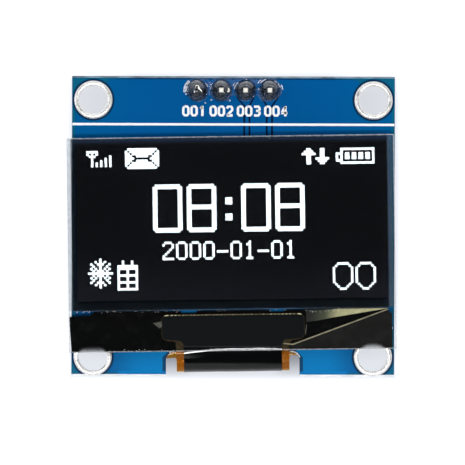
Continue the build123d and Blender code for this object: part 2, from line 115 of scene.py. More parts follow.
class Shader:
    """Short calls that wire up one procedural material."""

    def __init__(self, name: str) -> None:
        """Starts an empty material.

        Args:
            name: the material's name.
        """
        self.material = bpy.data.materials.new(name)
        self.material.use_nodes = True
        self.tree = self.material.node_tree
        self.tree.nodes.clear()
        self.output = self.tree.nodes.new("ShaderNodeOutputMaterial")
        self.place = self.node("ShaderNodeTexCoord").outputs["Object"]
        self.facing = self.node("ShaderNodeNewGeometry").outputs["Normal"]

    def node(self, kind: str, inputs: dict | None = None, **settings: object) -> bpy.types.Node:
        """Adds one node to the material, as add_node does."""
        return add_node(self.tree, kind, inputs, **settings)

    def axis(self, which: Axis3, source: Socket | None = None) -> Socket:
        """Returns one axis of a vector, by default of the place on the object."""
        split = self.node("ShaderNodeSeparateXYZ", {0: source or self.place})
        return split.outputs[which.value]

    def along_panel(self) -> Socket:
        """Returns the height on the face, measured along the slightly turned panel."""
        return self.math(
            "SUBTRACT", self.axis(Axis3.Y), self.math("MULTIPLY", self.axis(Axis3.X), PANEL_SLOPE)
        )

    def aside(self) -> Socket:
        """Returns the distance from the middle, to either side."""
        return self.math("ABSOLUTE", self.axis(Axis3.X))

    def upright(self) -> Socket:
        """Returns how squarely a face looks up or down."""
        return self.math("ABSOLUTE", self.axis(Axis3.Z, self.facing))

    def reach(self, x: Socket, y: Socket) -> Socket:
        """Returns the length of a flat offset."""
        offset = self.node("ShaderNodeCombineXYZ", {0: x, 1: y}).outputs[0]
        return self.node("ShaderNodeVectorMath", {0: offset}, operation="LENGTH").outputs["Value"]

    def band(self, value: Socket, center: float, half: float, soft: float) -> Socket:
        """Returns 1 within a band of a value and 0 outside, in millimetres."""
        away = self.math("ABSOLUTE", self.math("SUBTRACT", value, center * MM))
        return self.ramp(away, (half + soft) * MM, half * MM)

    def math(self, operation: str, *values: object) -> Socket:
        """Returns the result of one math node."""
        return self.node("ShaderNodeMath", dict(enumerate(values)), operation=operation).outputs[0]

    def ramp(self, value: Socket, start: float, end: float, low: float = 0.0, high: float = 1.0) -> Socket:
        """Maps a value smoothly and clamped.

        Args:
            value: the socket to map.
            start, end: the range that is read.
            low, high: the range that comes out.

        Returns:
            The mapped value.
        """
        inputs = {"Value": value, "From Min": start, "From Max": end, "To Min": low, "To Max": high}
        return self.node("ShaderNodeMapRange", inputs, interpolation_type="SMOOTHSTEP").outputs[0]

    def span(self, value: Socket, start: float, end: float, low: float = 0.0, high: float = 1.0) -> Socket:
        """Maps a length as ramp does, with its range in millimetres."""
        return self.ramp(value, start * MM, end * MM, low, high)

    def times(self, first: object, second: object) -> Socket:
        """Returns the product of two values."""
        return self.math("MULTIPLY", first, second)

    def noise(
        self,
        size: float,
        low: float = 0.0,
        high: float = 1.0,
        detail: float = 3.0,
        stretch: Sequence[float] = (1, 1, 1),
    ) -> Socket:
        """Makes a cloudy pattern.

        Args:
            size: size of its features in millimetres.
            low, high: the range that comes out.
            detail: how many finer layers it has.
            stretch: scale of the pattern along each axis.

        Returns:
            The pattern as a value.
        """
        mapping = self.node("ShaderNodeMapping", {"Vector": self.place, "Scale": stretch})
        texture = self.node(
            "ShaderNodeTexNoise", {"Vector": mapping.outputs[0], "Scale": 1 / (size * MM), "Detail": detail}
        )
        return self.ramp(texture.outputs[0], 0.3, 0.7, low, high)

    def blend(self, share: object, first: object, second: object) -> Socket:
        """Mixes two colours by a share of the second."""
        return self.node("ShaderNodeMix", {0: share, 6: first, 7: second}, data_type="RGBA").outputs[2]

    def bump(self, height: Socket, depth: float, strength: float = 1.0) -> Socket:
        """Turns a height pattern into a normal, with its depth in millimetres."""
        return self.node(
            "ShaderNodeBump", {"Height": height, "Distance": depth * MM, "Strength": strength}
        ).outputs[0]

    def principled(self, **inputs: object) -> Socket:
        """Adds a main surface shader, with input names written with underscores."""
        named = {key.replace("_", " "): value for key, value in inputs.items()}
        return self.node("ShaderNodeBsdfPrincipled", named).outputs[0]

    def layered(self, share: object, first: Socket, second: Socket) -> Socket:
        """Mixes two surface shaders by a share of the second."""
        return self.node("ShaderNodeMixShader", {0: share, 1: first, 2: second}).outputs[0]

    def gloss(self, roughness: float, **inputs: object) -> Socket:
        """Adds a white mirroring shader."""
        named = {"Color": (1, 1, 1, 1), "Roughness": roughness, **inputs}
        return self.node("ShaderNodeBsdfGlossy", named).outputs[0]

    def clear(self, color: Color) -> Socket:
        """Adds a see-through shader with a tint."""
        return self.node("ShaderNodeBsdfTransparent", {"Color": color}).outputs[0]

    def reflectance(self, **inputs: object) -> Socket:
        """Returns the share that a clear sheet reflects by its angle, the same on both of its sides."""
        facing = self.node("ShaderNodeLayerWeight", {"Blend": 0.5, **inputs}).outputs["Facing"]
        return self.math("MULTIPLY_ADD", self.math("POWER", facing, 5.0), 0.96, 0.04)

    def finish(self, surface: Socket) -> Material:
        """Links the surface to the output and returns the material."""
        self.tree.links.new(surface, self.output.inputs["Surface"])
        return self.material


@dataclass(frozen=True)
class PlasticFinish:
    """An opaque moulded, printed or painted surface."""

    name: str
    color: Color
    roughness: float = 0.5
    grain: float = 0.12
    depth: float = 0.004
    mottle: float = 0.12
    coat: float = 0.0
    cloud: float = 2.0

    def material(self) -> Material:
        """Builds the finish.

        Returns:
            A new material.
        """
        shader = Shader(self.name)
        cloud = shader.noise(self.cloud)
        color = shader.blend(cloud, toned(self.color, 1 - self.mottle), toned(self.color, 1 + self.mottle))
        surface = shader.principled(
            Base_Color=color,
            Roughness=shader.noise(self.cloud / 3, self.roughness * 0.88, min(self.roughness * 1.12, 1)),
            Coat_Weight=self.coat,
            Coat_Roughness=0.12,
            Normal=shader.bump(shader.noise(self.grain), self.depth),
        )
        return shader.finish(surface)


@dataclass(frozen=True)
class MetalFinish:
    """A plated, tinned or soldered surface with slow waves and patches of a dull tone: a little tarnish on
    the plating, and painted reflection of dark surroundings on the solder.
    """

    name: str
    color: Color
    roughness: float = 0.2
    wave: float = 0.5
    depth: float = 0.01
    dull_tone: Color = (0.3, 0.29, 0.28, 1.0)
    dull_share: float = 0.25
    coat: float = 0.0
    metallic: float = 1.0

    def material(self) -> Material:
        """Builds the finish.

        Returns:
            A new material.
        """
        shader = Shader(self.name)
        patchy = shader.noise(self.wave * 1.4, 0.0, self.dull_share)
        surface = shader.principled(
            Base_Color=shader.blend(patchy, self.color, self.dull_tone),
            Metallic=self.metallic,
            Roughness=shader.noise(self.wave * 0.6, self.roughness * 0.7, self.roughness * 1.3),
            Coat_Weight=self.coat,
            Coat_Roughness=0.05,
            Normal=shader.bump(shader.noise(self.wave, detail=1.5), self.depth),
        )
        return shader.finish(surface)


@dataclass(frozen=True)
class MaskFinish:
    """Blue solder mask, with the laminate on the board's cut sides and pale snapped bevels.

    The upper colour turns into the lighter lower one down the board: painted light. Where the mask
    lies on bare laminate it is teal near the corners and dark close round the hole rings: the
    clearance round each ring, with painted shade of the raised ring added.
    """

    name: str
    upper: Color
    lower: Color
    corner: Color
    narrow: Color
    foot: Color
    gap: Color = srgb(8, 22, 52)
    laminate: Color = srgb(150, 152, 122)
    score: Color = srgb(150, 172, 188)
    lit_score_below: Color = srgb(236, 244, 250)
    roughness: float = 0.16
    hole: Point2 = (14.67, 13.44)

    def face_color(self, shader: Shader) -> Socket:
        """Colours the mask on the board's two faces.

        Args:
            shader: the material that is wired.

        Returns:
            The colour.
        """
        across, along = shader.aside(), shader.axis(Axis3.Y)
        # Painted light: the upper colour turns into the lighter lower one down the board.
        face = shader.blend(shader.span(along, 6, -14), self.upper, self.lower)
        face = shader.blend(shader.span(across, 9.5, 13.5), face, self.corner)
        # Dark close round each hole ring: the ring's clearance, darkened further by painted shade of the
        # raised ring.
        side_x = shader.math("SUBTRACT", across, self.hole[0] * MM)
        side_y = shader.math("SUBTRACT", shader.math("ABSOLUTE", along), self.hole[1] * MM)
        ring_clearance_and_shade = shader.span(shader.reach(side_x, side_y), 2.32, 2.1)
        face = shader.blend(ring_clearance_and_shade, face, self.narrow)
        face = shader.blend(shader.noise(4.0, 0.0, 0.1), face, toned(self.upper, 0.5))
        low, inner = shader.span(along, -14.9, -15.05), shader.span(across, 12.2, 11.8)
        face = shader.blend(shader.times(low, inner), face, self.foot)
        trace_x = shader.band(shader.axis(Axis3.X), 2.6, 2.4, 0.2)
        beside = shader.times(trace_x, shader.band(along, 11.2, 2.5, 0.1))
        front = shader.span(shader.axis(Axis3.Z), 0.5, 0.7)
        return shader.blend(shader.times(beside, front), face, self.gap)

    def edge_color(self, shader: Shader) -> Socket:
        """Colours the laminate on the cut sides and the snapped bevels.

        Args:
            shader: the material that is wired.

        Returns:
            The colour.
        """
        fibres = shader.noise(0.12, stretch=(0.12, 0.12, 1.0))
        side = shader.blend(fibres, toned(self.laminate, 0.6), self.laminate)
        frayed = shader.noise(0.5, stretch=(0.35, 1.0, 1.0), detail=5.0)
        score = shader.blend(frayed, toned(self.score, 0.35), self.score)
        # Painted highlight: the bevel along the board's foot is made much paler than the other bevels.
        lit_score_below = shader.blend(frayed, toned(self.lit_score_below, 0.8), (1.0, 1.0, 1.0, 1.0))
        low = shader.span(shader.axis(Axis3.Y), -15.0, -15.2)
        score = shader.blend(low, score, lit_score_below)
        return shader.blend(shader.ramp(shader.upright(), 0.25, 0.45), side, score)

    def material(self) -> Material:
        """Builds the finish.

        Returns:
            A new material.
        """
        shader = Shader(self.name)
        upright = shader.upright()
        flat = shader.ramp(upright, 0.85, 0.97)
        surface = shader.principled(
            Base_Color=shader.blend(flat, self.edge_color(shader), self.face_color(shader)),
            Roughness=shader.ramp(upright, 0.85, 0.97, 0.7, self.roughness),
            Specular_IOR_Level=0.16,
            Normal=shader.bump(shader.noise(0.3, detail=2.0), 0.0015),
        )
        return shader.finish(surface)


@dataclass(frozen=True)
class PourFinish(MaskFinish):
    """The same mask where copper lies under it, so nothing dark shows through beside the traces."""

    gap: Color = srgb(0, 87, 151)


@dataclass(frozen=True)
class ClearFinish:
    """A see-through sheet: tinted, reflecting by its angle, with rough pale cut edges painted paler on some
    sides than on others as painted light and shade, and an optional painted glow along its upper edge.
    """

    name: str
    tint: Color
    edge: Color
    gloss_roughness: float = 0.03
    edge_cover: float = 0.7
    haze: float = 0.0
    haze_color: Color = srgb(120, 120, 118)
    rim_light_shares: tuple[float, float, float, float] = (1.0, 1.0, 1.0, 1.0)
    painted_glow_band: float = 0.0
    glow_color: Color = srgb(60, 84, 120)

    def painted_rim_light(self, shader: Shader) -> Socket:
        """Weighs the cut edges by the way they face, as painted light and shade.

        Args:
            shader: the material that is wired.

        Returns:
            How much of the rim's cover each side has: above, right, below and left.
        """
        up, right = shader.axis(Axis3.Y, shader.facing), shader.axis(Axis3.X, shader.facing)
        gain = None
        for facing, side, share in zip((up, right, up, right), (1, 1, -1, -1), self.rim_light_shares):
            part = shader.ramp(facing, 0.2 * side, 0.6 * side, 0.0, share)
            gain = part if gain is None else shader.math("MAXIMUM", gain, part)
        return gain

    def material(self) -> Material:
        """Builds the finish.

        Returns:
            A new material.
        """
        shader = Shader(self.name)
        fresnel = shader.reflectance()
        face = shader.layered(fresnel, shader.clear(self.tint), shader.gloss(self.gloss_roughness))
        # Painted light: a faint bluish glow laid in a band along the sheet's upper edge.
        if self.painted_glow_band > 0:
            under_edge = shader.span(shader.along_panel(), 8.75, 9.5, 0.0, self.painted_glow_band)
            face = shader.layered(
                under_edge, face, shader.principled(Base_Color=self.glow_color, Roughness=0.6)
            )
        if self.haze > 0:
            cloud = shader.noise(0.8, self.haze * 0.8, self.haze * 1.2)
            face = shader.layered(cloud, face, shader.principled(Base_Color=self.haze_color, Roughness=0.3))
        chips = shader.noise(0.16, detail=4.0)
        cut = shader.principled(
            Base_Color=shader.blend(chips, toned(self.edge, 0.45), self.edge),
            Roughness=0.25,
            Coat_Weight=0.5,
            Normal=shader.bump(chips, 0.03),
        )
        # Painted light and shade: the pale cut edges show more on some sides than on others.
        uneven = shader.noise(0.22, self.edge_cover * 0.5, self.edge_cover)
        cover = shader.times(uneven, self.painted_rim_light(shader))
        rim = shader.layered(cover, shader.clear(self.tint), cut)
        return shader.finish(shader.layered(shader.ramp(shader.upright(), 0.9, 0.6), face, rim))


@dataclass(frozen=True)
class EmitterFinish:
    """The unlit emitting film: near black, with painted light that makes it a little lighter towards its
    foot.
    """

    name: str = "emitter_film"
    upper: Color = srgb(62, 63, 68)
    lower: Color = srgb(88, 88, 100)

    def material(self) -> Material:
        """Builds the finish.

        Returns:
            A new material.
        """
        shader = Shader(self.name)
        # Painted light: the film is made lighter towards its foot.
        low = shader.span(shader.axis(Axis3.Y), -2, -7.5)
        color = shader.blend(low, self.upper, self.lower)
        return shader.finish(shader.principled(Base_Color=color, Roughness=0.5, Specular_IOR_Level=0.1))


@dataclass(frozen=True)
class ResidueFinish:
    """Clear dried flux: a glossy skin with pale clouded patches."""

    name: str
    haze: float
    least: float = 0.0
    shine: float = 0.3
    pale: Color = srgb(222, 232, 246)

    def material(self) -> Material:
        """Builds the finish.

        Returns:
            A new material.
        """
        shader = Shader(self.name)
        ripples = shader.bump(shader.noise(0.6, detail=1.0), 0.04)
        fresnel = shader.times(shader.reflectance(Normal=ripples), self.shine)
        gloss = shader.gloss(0.07, Normal=ripples)
        skin = shader.layered(fresnel, shader.clear((0.985, 0.99, 1, 1)), gloss)
        chalk = shader.principled(Base_Color=self.pale, Roughness=0.35, Coat_Weight=0.6, Normal=ripples)
        patches = shader.noise(0.3, self.least, self.haze, detail=4.0)
        return shader.finish(shader.layered(patches, skin, chalk))


@dataclass(frozen=True)
class FilmFinish:
    """Amber film: light passes through it with a strong tint, and its front is painted dark under the glass
    as painted shade.
    """

    name: str = "amber_film"
    tint: Color = (0.9, 0.66, 0.13, 1.0)
    body: Color = srgb(172, 110, 26)
    under_glass: Color = srgb(44, 36, 20)
    cover: float = 0.28

    def material(self) -> Material:
        """Builds the finish.

        Returns:
            A new material.
        """
        shader = Shader(self.name)
        color = shader.blend(shader.noise(0.6), toned(self.body, 0.8), toned(self.body, 1.15))
        front = shader.span(shader.axis(Axis3.Z), 1.6, 1.9)
        # Painted shade: the film's front is painted dark olive where it lies under the glass.
        under_glass = shader.times(shader.span(shader.along_panel(), -12.86, -12.62), front)
        shaded_under_glass = shader.blend(shader.noise(0.35, detail=4.0), self.under_glass, toned(self.under_glass, 2.6))
        surface = shader.principled(
            Base_Color=shader.blend(under_glass, color, shaded_under_glass),
            Roughness=shader.ramp(under_glass, 0.0, 1.0, 0.18, 0.6),
            Specular_IOR_Level=shader.ramp(under_glass, 0.0, 1.0, 0.5, 0.1),
            Coat_Weight=shader.ramp(under_glass, 0.0, 1.0, 0.6, 0.0),
            Coat_Roughness=0.04,
            Normal=shader.bump(shader.noise(0.5, detail=1.0), 0.03),
        )
        cover = shader.ramp(under_glass, 0.0, 1.0, self.cover, 0.9)
        return shader.finish(shader.layered(cover, shader.clear(self.tint), surface))


@dataclass(frozen=True)
class CoverFinish:
    """Black cover layer: dull where the glass lies on it and glossy over the free fold."""

    name: str = "black_film"
    color: Color = srgb(4, 5, 6)
    under_glass: Color = srgb(18, 21, 23)
    free_from: float = -12.5

    def material(self) -> Material:
        """Builds the finish.

        Returns:
            A new material.
        """
        shader = Shader(self.name)
        along = shader.axis(Axis3.Y)
        free = shader.span(along, self.free_from + 0.3, self.free_from)
        dulled = shader.span(along, -13.9, -14.4, 0.0, 0.3)
        shine = shader.span(along, -13.6, -14.2, 0.8, 0.15)
        streaks = shader.noise(0.7, stretch=(0.25, 1.0, 1.0), detail=1.0)
        surface = shader.principled(
            Base_Color=shader.blend(free, self.under_glass, self.color),
            Roughness=shader.math("ADD", shader.ramp(free, 0.0, 1.0, 0.5, 0.1), dulled),
            Specular_IOR_Level=shader.ramp(free, 0.0, 1.0, 0.02, 0.3),
            Coat_Weight=shader.times(free, shine),
            Coat_Roughness=0.03,
            Coat_IOR=1.85,
            Normal=shader.bump(streaks, 0.006),
        )
        return shader.finish(surface)


@dataclass(frozen=True)
class FingerFinish:
    """Gold fingers with painted reflection: bright and dull patches for uneven glints, dimmer in the middle
    of the row.
    """

    name: str = "gold_fingers"
    bright: Color = srgb(226, 212, 164)
    dull: Color = srgb(70, 62, 38)

    def material(self) -> Material:
        """Builds the finish.

        Returns:
            A new material.
        """
        shader = Shader(self.name)
        # Painted reflection: the bright patches stand for glints on the fingers.
        patchy = shader.noise(0.5, 0.1, 1.0, detail=3.0)
        outer = shader.span(shader.aside(), 1.0, 6.0, 0.5, 1.0)
        share = shader.times(patchy, outer)
        surface = shader.principled(Base_Color=shader.blend(share, self.dull, self.bright), Roughness=0.4)
        return shader.finish(surface)


@dataclass(frozen=True)
class TapeFinish:
    """Black tape behind glass: wetted patches look glossy black, the rest is dark grey."""

    name: str
    wet: Color
    dry: Color
    patch: float = 1.2
    dry_share: float = 0.5
    hole: Point2 = (14.67, 13.44)
    hole_r: float = 1.5

    def material(self) -> Material:
        """Builds the finish.

        Returns:
            A new material.
        """
        shader = Shader(self.name)
        patches = shader.ramp(shader.noise(self.patch, detail=5.0), 1 - self.dry_share, 1.3 - self.dry_share)
        surface = shader.principled(
            Base_Color=shader.blend(patches, self.wet, self.dry),
            Roughness=0.6,
            Specular_IOR_Level=0.03,
        )
        side_x = shader.math("SUBTRACT", shader.aside(), self.hole[0] * MM)
        side_y = shader.math("ADD", shader.axis(Axis3.Y), self.hole[1] * MM)
        inside = shader.span(shader.reach(side_x, side_y), self.hole_r + 0.45, self.hole_r - 0.35)
        below = shader.span(shader.along_panel(), -11.8, -12.92, 0.0, 0.95)
        lit_through = shader.times(inside, below)
        return shader.finish(shader.layered(lit_through, surface, shader.clear((1, 1, 1, 1))))


@dataclass(frozen=True)
class LinerFinish:
    """Beige tape backing that turns darker and greener towards its narrow end."""

    name: str = "beige_backing"
    pale: Color = srgb(208, 205, 156)
    darker_end: Color = srgb(74, 80, 56)
    darken_from: float = 11.6
    darken_to: float = 9.4
    lost_from: float = 10.2
    lost_at: float = 7.8
    black: Color = srgb(9, 10, 9)

    def material(self) -> Material:
        """Builds the finish.

        Returns:
            A new material.
        """
        shader = Shader(self.name)
        darkening = shader.span(shader.axis(Axis3.X), self.darken_from, self.darken_to)
        color = shader.blend(darkening, self.pale, self.darker_end)
        color = shader.blend(shader.noise(0.5, 0.0, 0.22), color, toned(self.darker_end, 1.2))
        lost = shader.span(shader.axis(Axis3.X), self.lost_from, self.lost_at)
        color = shader.blend(lost, color, self.black)
        creases = shader.bump(shader.noise(0.2), 0.01)
        return shader.finish(shader.principled(Base_Color=color, Roughness=0.7, Normal=creases))


@dataclass(frozen=True)
class LightFinish:
    """Lit dots of the panel."""

    name: str = "lit_dots"
    color: Color = (0.9, 0.98, 1.0, 1.0)
    strength: float = 6.0

    def material(self) -> Material:
        """Builds the finish.

        Returns:
            A new material.
        """
        shader = Shader(self.name)
        surface = shader.principled(
            Base_Color=(0.0, 0.0, 0.0, 1.0),
            Specular_IOR_Level=0.0,
            Emission_Color=self.color,
            Emission_Strength=self.strength,
        )
        return shader.finish(surface)


@dataclass(frozen=True)
class ChipFinish:
    """A chip part's ceramic body, with a dark printed top on a resistor."""

    name: str
    side: Color
    top: Color

    def material(self) -> Material:
        """Builds the finish.

        Returns:
            A new material.
        """
        shader = Shader(self.name)
        outward = shader.times(shader.axis(Axis3.Z, shader.facing), -1.0)
        color = shader.blend(shader.ramp(outward, 0.4, 0.8), self.side, self.top)
        color = shader.blend(shader.noise(0.3, 0.0, 0.25), color, toned(self.side, 0.6))
        grain = shader.bump(shader.noise(0.08), 0.003)
        return shader.finish(shader.principled(Base_Color=color, Roughness=0.45, Normal=grain))


TIN = MetalFinish("tinned_copper", (0.86, 0.86, 0.85, 1), roughness=0.22, wave=0.6, depth=0.01)
RING_TIN = MetalFinish(
    "tinned_rings",
    (0.95, 0.95, 0.94, 1),
    roughness=0.3,
    wave=0.9,
    depth=0.012,
    dull_tone=(0.5, 0.49, 0.47, 1),
    metallic=0.72,
)
# Painted reflection: the solder's near-black colour and its darker dull tone stand for the dark surroundings
# that the shiny joints reflect.
SOLDER = MetalFinish(
    "solder",
    (0.075, 0.09, 0.11, 1),
    roughness=0.22,
    wave=0.26,
    depth=0.1,
    dull_tone=(0.012, 0.015, 0.02, 1),
    dull_share=0.9,
    coat=0.8,
)
PIN = MetalFinish(
    "pin_plating",
    (0.97, 0.95, 0.88, 1),
    roughness=0.4,
    wave=0.5,
    depth=0.004,
    dull_tone=(0.6, 0.56, 0.5, 1),
    metallic=0.4,
)
GOLD = FingerFinish()
BOARD_MASK = MaskFinish(
    "board_mask", srgb(7, 55, 98), srgb(10, 66, 106), srgb(10, 98, 132), srgb(6, 40, 78), srgb(6, 112, 178)
)
COPPER_MASK = PourFinish(
    "mask_over_copper",
    srgb(0, 87, 151),
    srgb(0, 122, 188),
    srgb(0, 91, 152),
    srgb(0, 80, 140),
    srgb(0, 122, 188),
)
PRINT = PlasticFinish("white_print", srgb(252, 253, 255), roughness=0.6, mottle=0.0)
HOUSING = PlasticFinish("header_plastic", srgb(22, 22, 24), roughness=0.42, grain=0.1, depth=0.003)
FOAM = PlasticFinish("foam_tape", srgb(24, 24, 26), roughness=0.9, grain=0.1, depth=0.03)
DESICCANT = PlasticFinish("desiccant", srgb(214, 212, 204), roughness=0.9)
EMITTER = EmitterFinish()
BLACK_FILM = CoverFinish()
SILICON = PlasticFinish("silicon", srgb(70, 72, 78), roughness=0.25, depth=0.0005)
MOULDING = PlasticFinish("moulding_compound", srgb(26, 26, 28), roughness=0.6, grain=0.06, depth=0.004)
GLASS = ClearFinish(
    "clear_glass",
    (0.985, 0.989, 0.992, 1),
    srgb(246, 249, 252),
    edge_cover=0.95,
    rim_light_shares=(1.0, 0.8, 0.05, 0.4),
)
POLARIZER = ClearFinish(
    "polarizer_film",
    (0.56, 0.57, 0.58, 1),
    srgb(190, 196, 200),
    gloss_roughness=0.06,
    edge_cover=0.95,
    rim_light_shares=(0.5, 0.12, 0.45, 0.1),
    painted_glow_band=0.1,
)
SEAL = ClearFinish(
    "seal_resin",
    (0.98, 0.985, 0.99, 1),
    srgb(176, 186, 192),
    edge_cover=0.6,
    haze=0.1,
    haze_color=srgb(150, 184, 205),
)
FLUX = ResidueFinish("flux_residue", haze=0.05, shine=0.12)
# Pale finish of the arcs and specks round the joints: partly dried flux, partly painted highlight.
CRUST_AND_GLINT = ResidueFinish("flux_crust", haze=0.85, least=0.2, shine=1.0)
AMBER = FilmFinish()
SHIELD_TAPE = TapeFinish("shield_tape", srgb(2, 3, 3), srgb(11, 12, 11), dry_share=0.35)
OVERLAP_TAPE = TapeFinish("overlap_tape", srgb(29, 29, 28), srgb(34, 34, 33), patch=1.6, dry_share=0.75)
LINER = LinerFinish()
SEAM = PlasticFinish("beige_seam", srgb(156, 148, 122), roughness=0.8, mottle=0.25, cloud=0.5)
SCRAP = PlasticFinish("backing_scrap", srgb(80, 80, 70), roughness=0.7, mottle=0.5, cloud=0.3)
# Pale specks: dust on the panel, and painted highlights on the slot's milled edges.
DUST_AND_GLINT = PlasticFinish("dust_specks", srgb(236, 240, 240), roughness=0.5, mottle=0.2, cloud=1.5)
RAW_GOLD = PlasticFinish("gold_strip", srgb(232, 220, 172), roughness=0.3, mottle=0.3, cloud=0.4, coat=0.6)
LIT = LightFinish()
RESISTOR = ChipFinish("resistor_ceramic", srgb(226, 224, 216), srgb(24, 24, 26))
CAPACITOR = ChipFinish("capacitor_ceramic", srgb(168, 132, 92), srgb(176, 140, 98))


def link_piece(name: str, mesh: Mesh, finish: Material | None = None, smooth: bool = False) -> Piece:
    """Makes an object of a finished mesh.

    Args:
        name: the piece's name.
        mesh: its mesh, in metres in the model's frame.
        finish: its material, if the mesh has none.
        smooth: whether its faces are shaded smooth.

    Returns:
        The object, linked to the scene.
    """
    if finish is not None:
        mesh.materials.clear()
        mesh.materials.append(finish)
    mesh.polygons.foreach_set("use_smooth", [smooth] * len(mesh.polygons))
    piece = bpy.data.objects.new(name, mesh)
    bpy.context.scene.collection.objects.link(piece)
    return piece


def mesh_of(
    name: str,
    points: Iterable[Sequence[float]],
    faces: Iterable[Sequence[int]],
    edges: Iterable[Sequence[int]] = (),
) -> Mesh:
    """Makes a mesh of points and faces.

    Args:
        name: the mesh's name.
        points: places in millimetres.
        faces: corners of each face, by number.
        edges: loose edges, by number.

    Returns:
        The mesh, in metres.
    """
    mesh = bpy.data.meshes.new(name)
    mesh.from_pydata(
        [tuple(value * MM for value in point) for point in points],
        list(edges),
        [tuple(face) for face in faces],
    )
    mesh.update()
    return mesh


def tidy_mesh(mesh: Mesh, bevel: float = 0.0, segments: int = 2) -> Mesh:
    """Merges doubles, turns faces outward and can round the sharp edges.

    Args:
        mesh: a closed mesh.
        bevel: width of the rounding in millimetres.
        segments: how many steps it has.

    Returns:
        The same mesh.
    """
    work = bmesh.new()
    work.from_mesh(mesh)
    bmesh.ops.remove_doubles(work, verts=work.verts, dist=1e-7)
    bmesh.ops.dissolve_degenerate(work, edges=work.edges, dist=1e-8)
    bmesh.ops.recalc_face_normals(work, faces=work.faces)
    if bevel > 0:
        sharp = [
            edge for edge in work.edges if edge.is_manifold and edge.calc_face_angle() > math.radians(30)
        ]
        bmesh.ops.bevel(
            work,
            geom=sharp,
            offset=bevel * MM,
            segments=segments,
            profile=0.5,
            affect="EDGES",
            clamp_overlap=True,
        )
    work.to_mesh(mesh)
    work.free()
    return mesh


def box(width: float, height: float, center: Point2 = (0.0, 0.0)) -> list[Point2]:
    """Returns the corners of an upright rectangle."""
    corners = ((-1, -1), (1, -1), (1, 1), (-1, 1))
    return [(center[0] + x * width / 2, center[1] + y * height / 2) for x, y in corners]


def prism(
    name: str,
    outline: Sequence[Point2],
    low: float,
    high: float,
    place: Placing | None = None,
) -> Mesh:
    """Raises an outline into a closed block.

    Args:
        name: the mesh's name.
        outline: corners in order.
        low, high: heights of its two faces.
        place: maps a corner and a height to the model's frame.

    Returns:
        The block's mesh.
    """
    place = place or (lambda x, y, z: Vector((x, y, z)))
    count = len(outline)
    points = [place(x, y, z) for z in (low, high) for x, y in outline]
    faces = [list(range(count))[::-1], list(range(count, 2 * count))]
    faces += [[i, (i + 1) % count, count + (i + 1) % count, count + i] for i in range(count)]
    return mesh_of(name, points, faces)


def lathe(name: str, profile: Sequence[Point2], steps: int, closed: bool) -> Mesh:
    """Turns a profile of radius and height round the Z axis.

    Args:
        name: the mesh's name.
        profile: points in order, on the axis at both ends unless it is a loop.
        steps: how many sectors the turn has.
        closed: whether the profile is a loop.

    Returns:
        The turned mesh.
    """
    points, faces = [], []
    for index in range(steps):
        angle = 2 * math.pi * index / steps
        points += [(radius * math.cos(angle), radius * math.sin(angle), height) for radius, height in profile]
    size = len(profile)
    for index in range(steps):
        here, there = index * size, ((index + 1) % steps) * size
        for step in range(size if closed else size - 1):
            after = (step + 1) % size
            faces.append([here + step, there + step, there + after, here + after])
    return tidy_mesh(mesh_of(name, points, faces))


def arc_points(center: Point2, radius: float, start: float, end: float, steps: int) -> list[Point2]:
    """Returns points along an arc, with its angles in degrees."""
    angles = [math.radians(start + (end - start) * step / steps) for step in range(steps + 1)]
    return [(center[0] + radius * math.cos(angle), center[1] + radius * math.sin(angle)) for angle in angles]


class Tree:
    """A Geometry Nodes tree with named inputs, baked into plain meshes."""

    def __init__(self, name: str, inputs: dict[str, str]) -> None:
        """Starts the tree.

        Args:
            name: the tree's name.
            inputs: each input's name and socket type.
        """
        self.group = bpy.data.node_groups.new(name, "GeometryNodeTree")
        self.group.interface.new_socket("Geometry", in_out="OUTPUT", socket_type="NodeSocketGeometry")
        self.sockets = {}
        for label, kind in {"Geometry": "NodeSocketGeometry", **inputs}.items():
            self.sockets[label] = self.group.interface.new_socket(
                label, in_out="INPUT", socket_type=kind
            ).identifier
        self.inputs = self.group.nodes.new("NodeGroupInput").outputs
        self.outputs = self.group.nodes.new("NodeGroupOutput").inputs

    def node(self, kind: str, inputs: dict | None = None, **settings: object) -> bpy.types.Node:
        """Adds one node to the tree, as add_node does."""
        return add_node(self.group, kind, inputs, **settings)

    def close(self, geometry: Socket) -> None:
        """Ends the tree in Realize Instances and Set Material.

        Args:
            geometry: what the tree has made.
        """
        real = self.node("GeometryNodeRealizeInstances", {"Geometry": geometry})
        dressed = self.node(
            "GeometryNodeSetMaterial", {"Geometry": real.outputs[0], "Material": self.inputs["Finish"]}
        )
        self.group.links.new(dressed.outputs[0], self.outputs["Geometry"])

    def bake(self, name: str, seed_mesh: Mesh, values: dict[str, object], smooth: bool = False) -> Piece:
        """Runs the tree on a mesh and keeps the result as a plain piece.

        Args:
            name: the piece's name.
            seed_mesh: the points or lines that the tree starts from.
            values: a value for each named input.
            smooth: whether the result is shaded smooth.

        Returns:
            The finished piece.
        """
        holder = bpy.data.objects.new(name + "_source", seed_mesh)
        bpy.context.scene.collection.objects.link(holder)
        modifier = holder.modifiers.new("repeat", "NODES")
        modifier.node_group = self.group
        for label, value in values.items():
            modifier[self.sockets[label]] = value
        graph = bpy.context.evaluated_depsgraph_get()
        result = bpy.data.meshes.new_from_object(holder.evaluated_get(graph))
        holder.modifiers.clear()
        bpy.data.objects.remove(holder)
        result.name = name
        return link_piece(name, result, smooth=smooth)


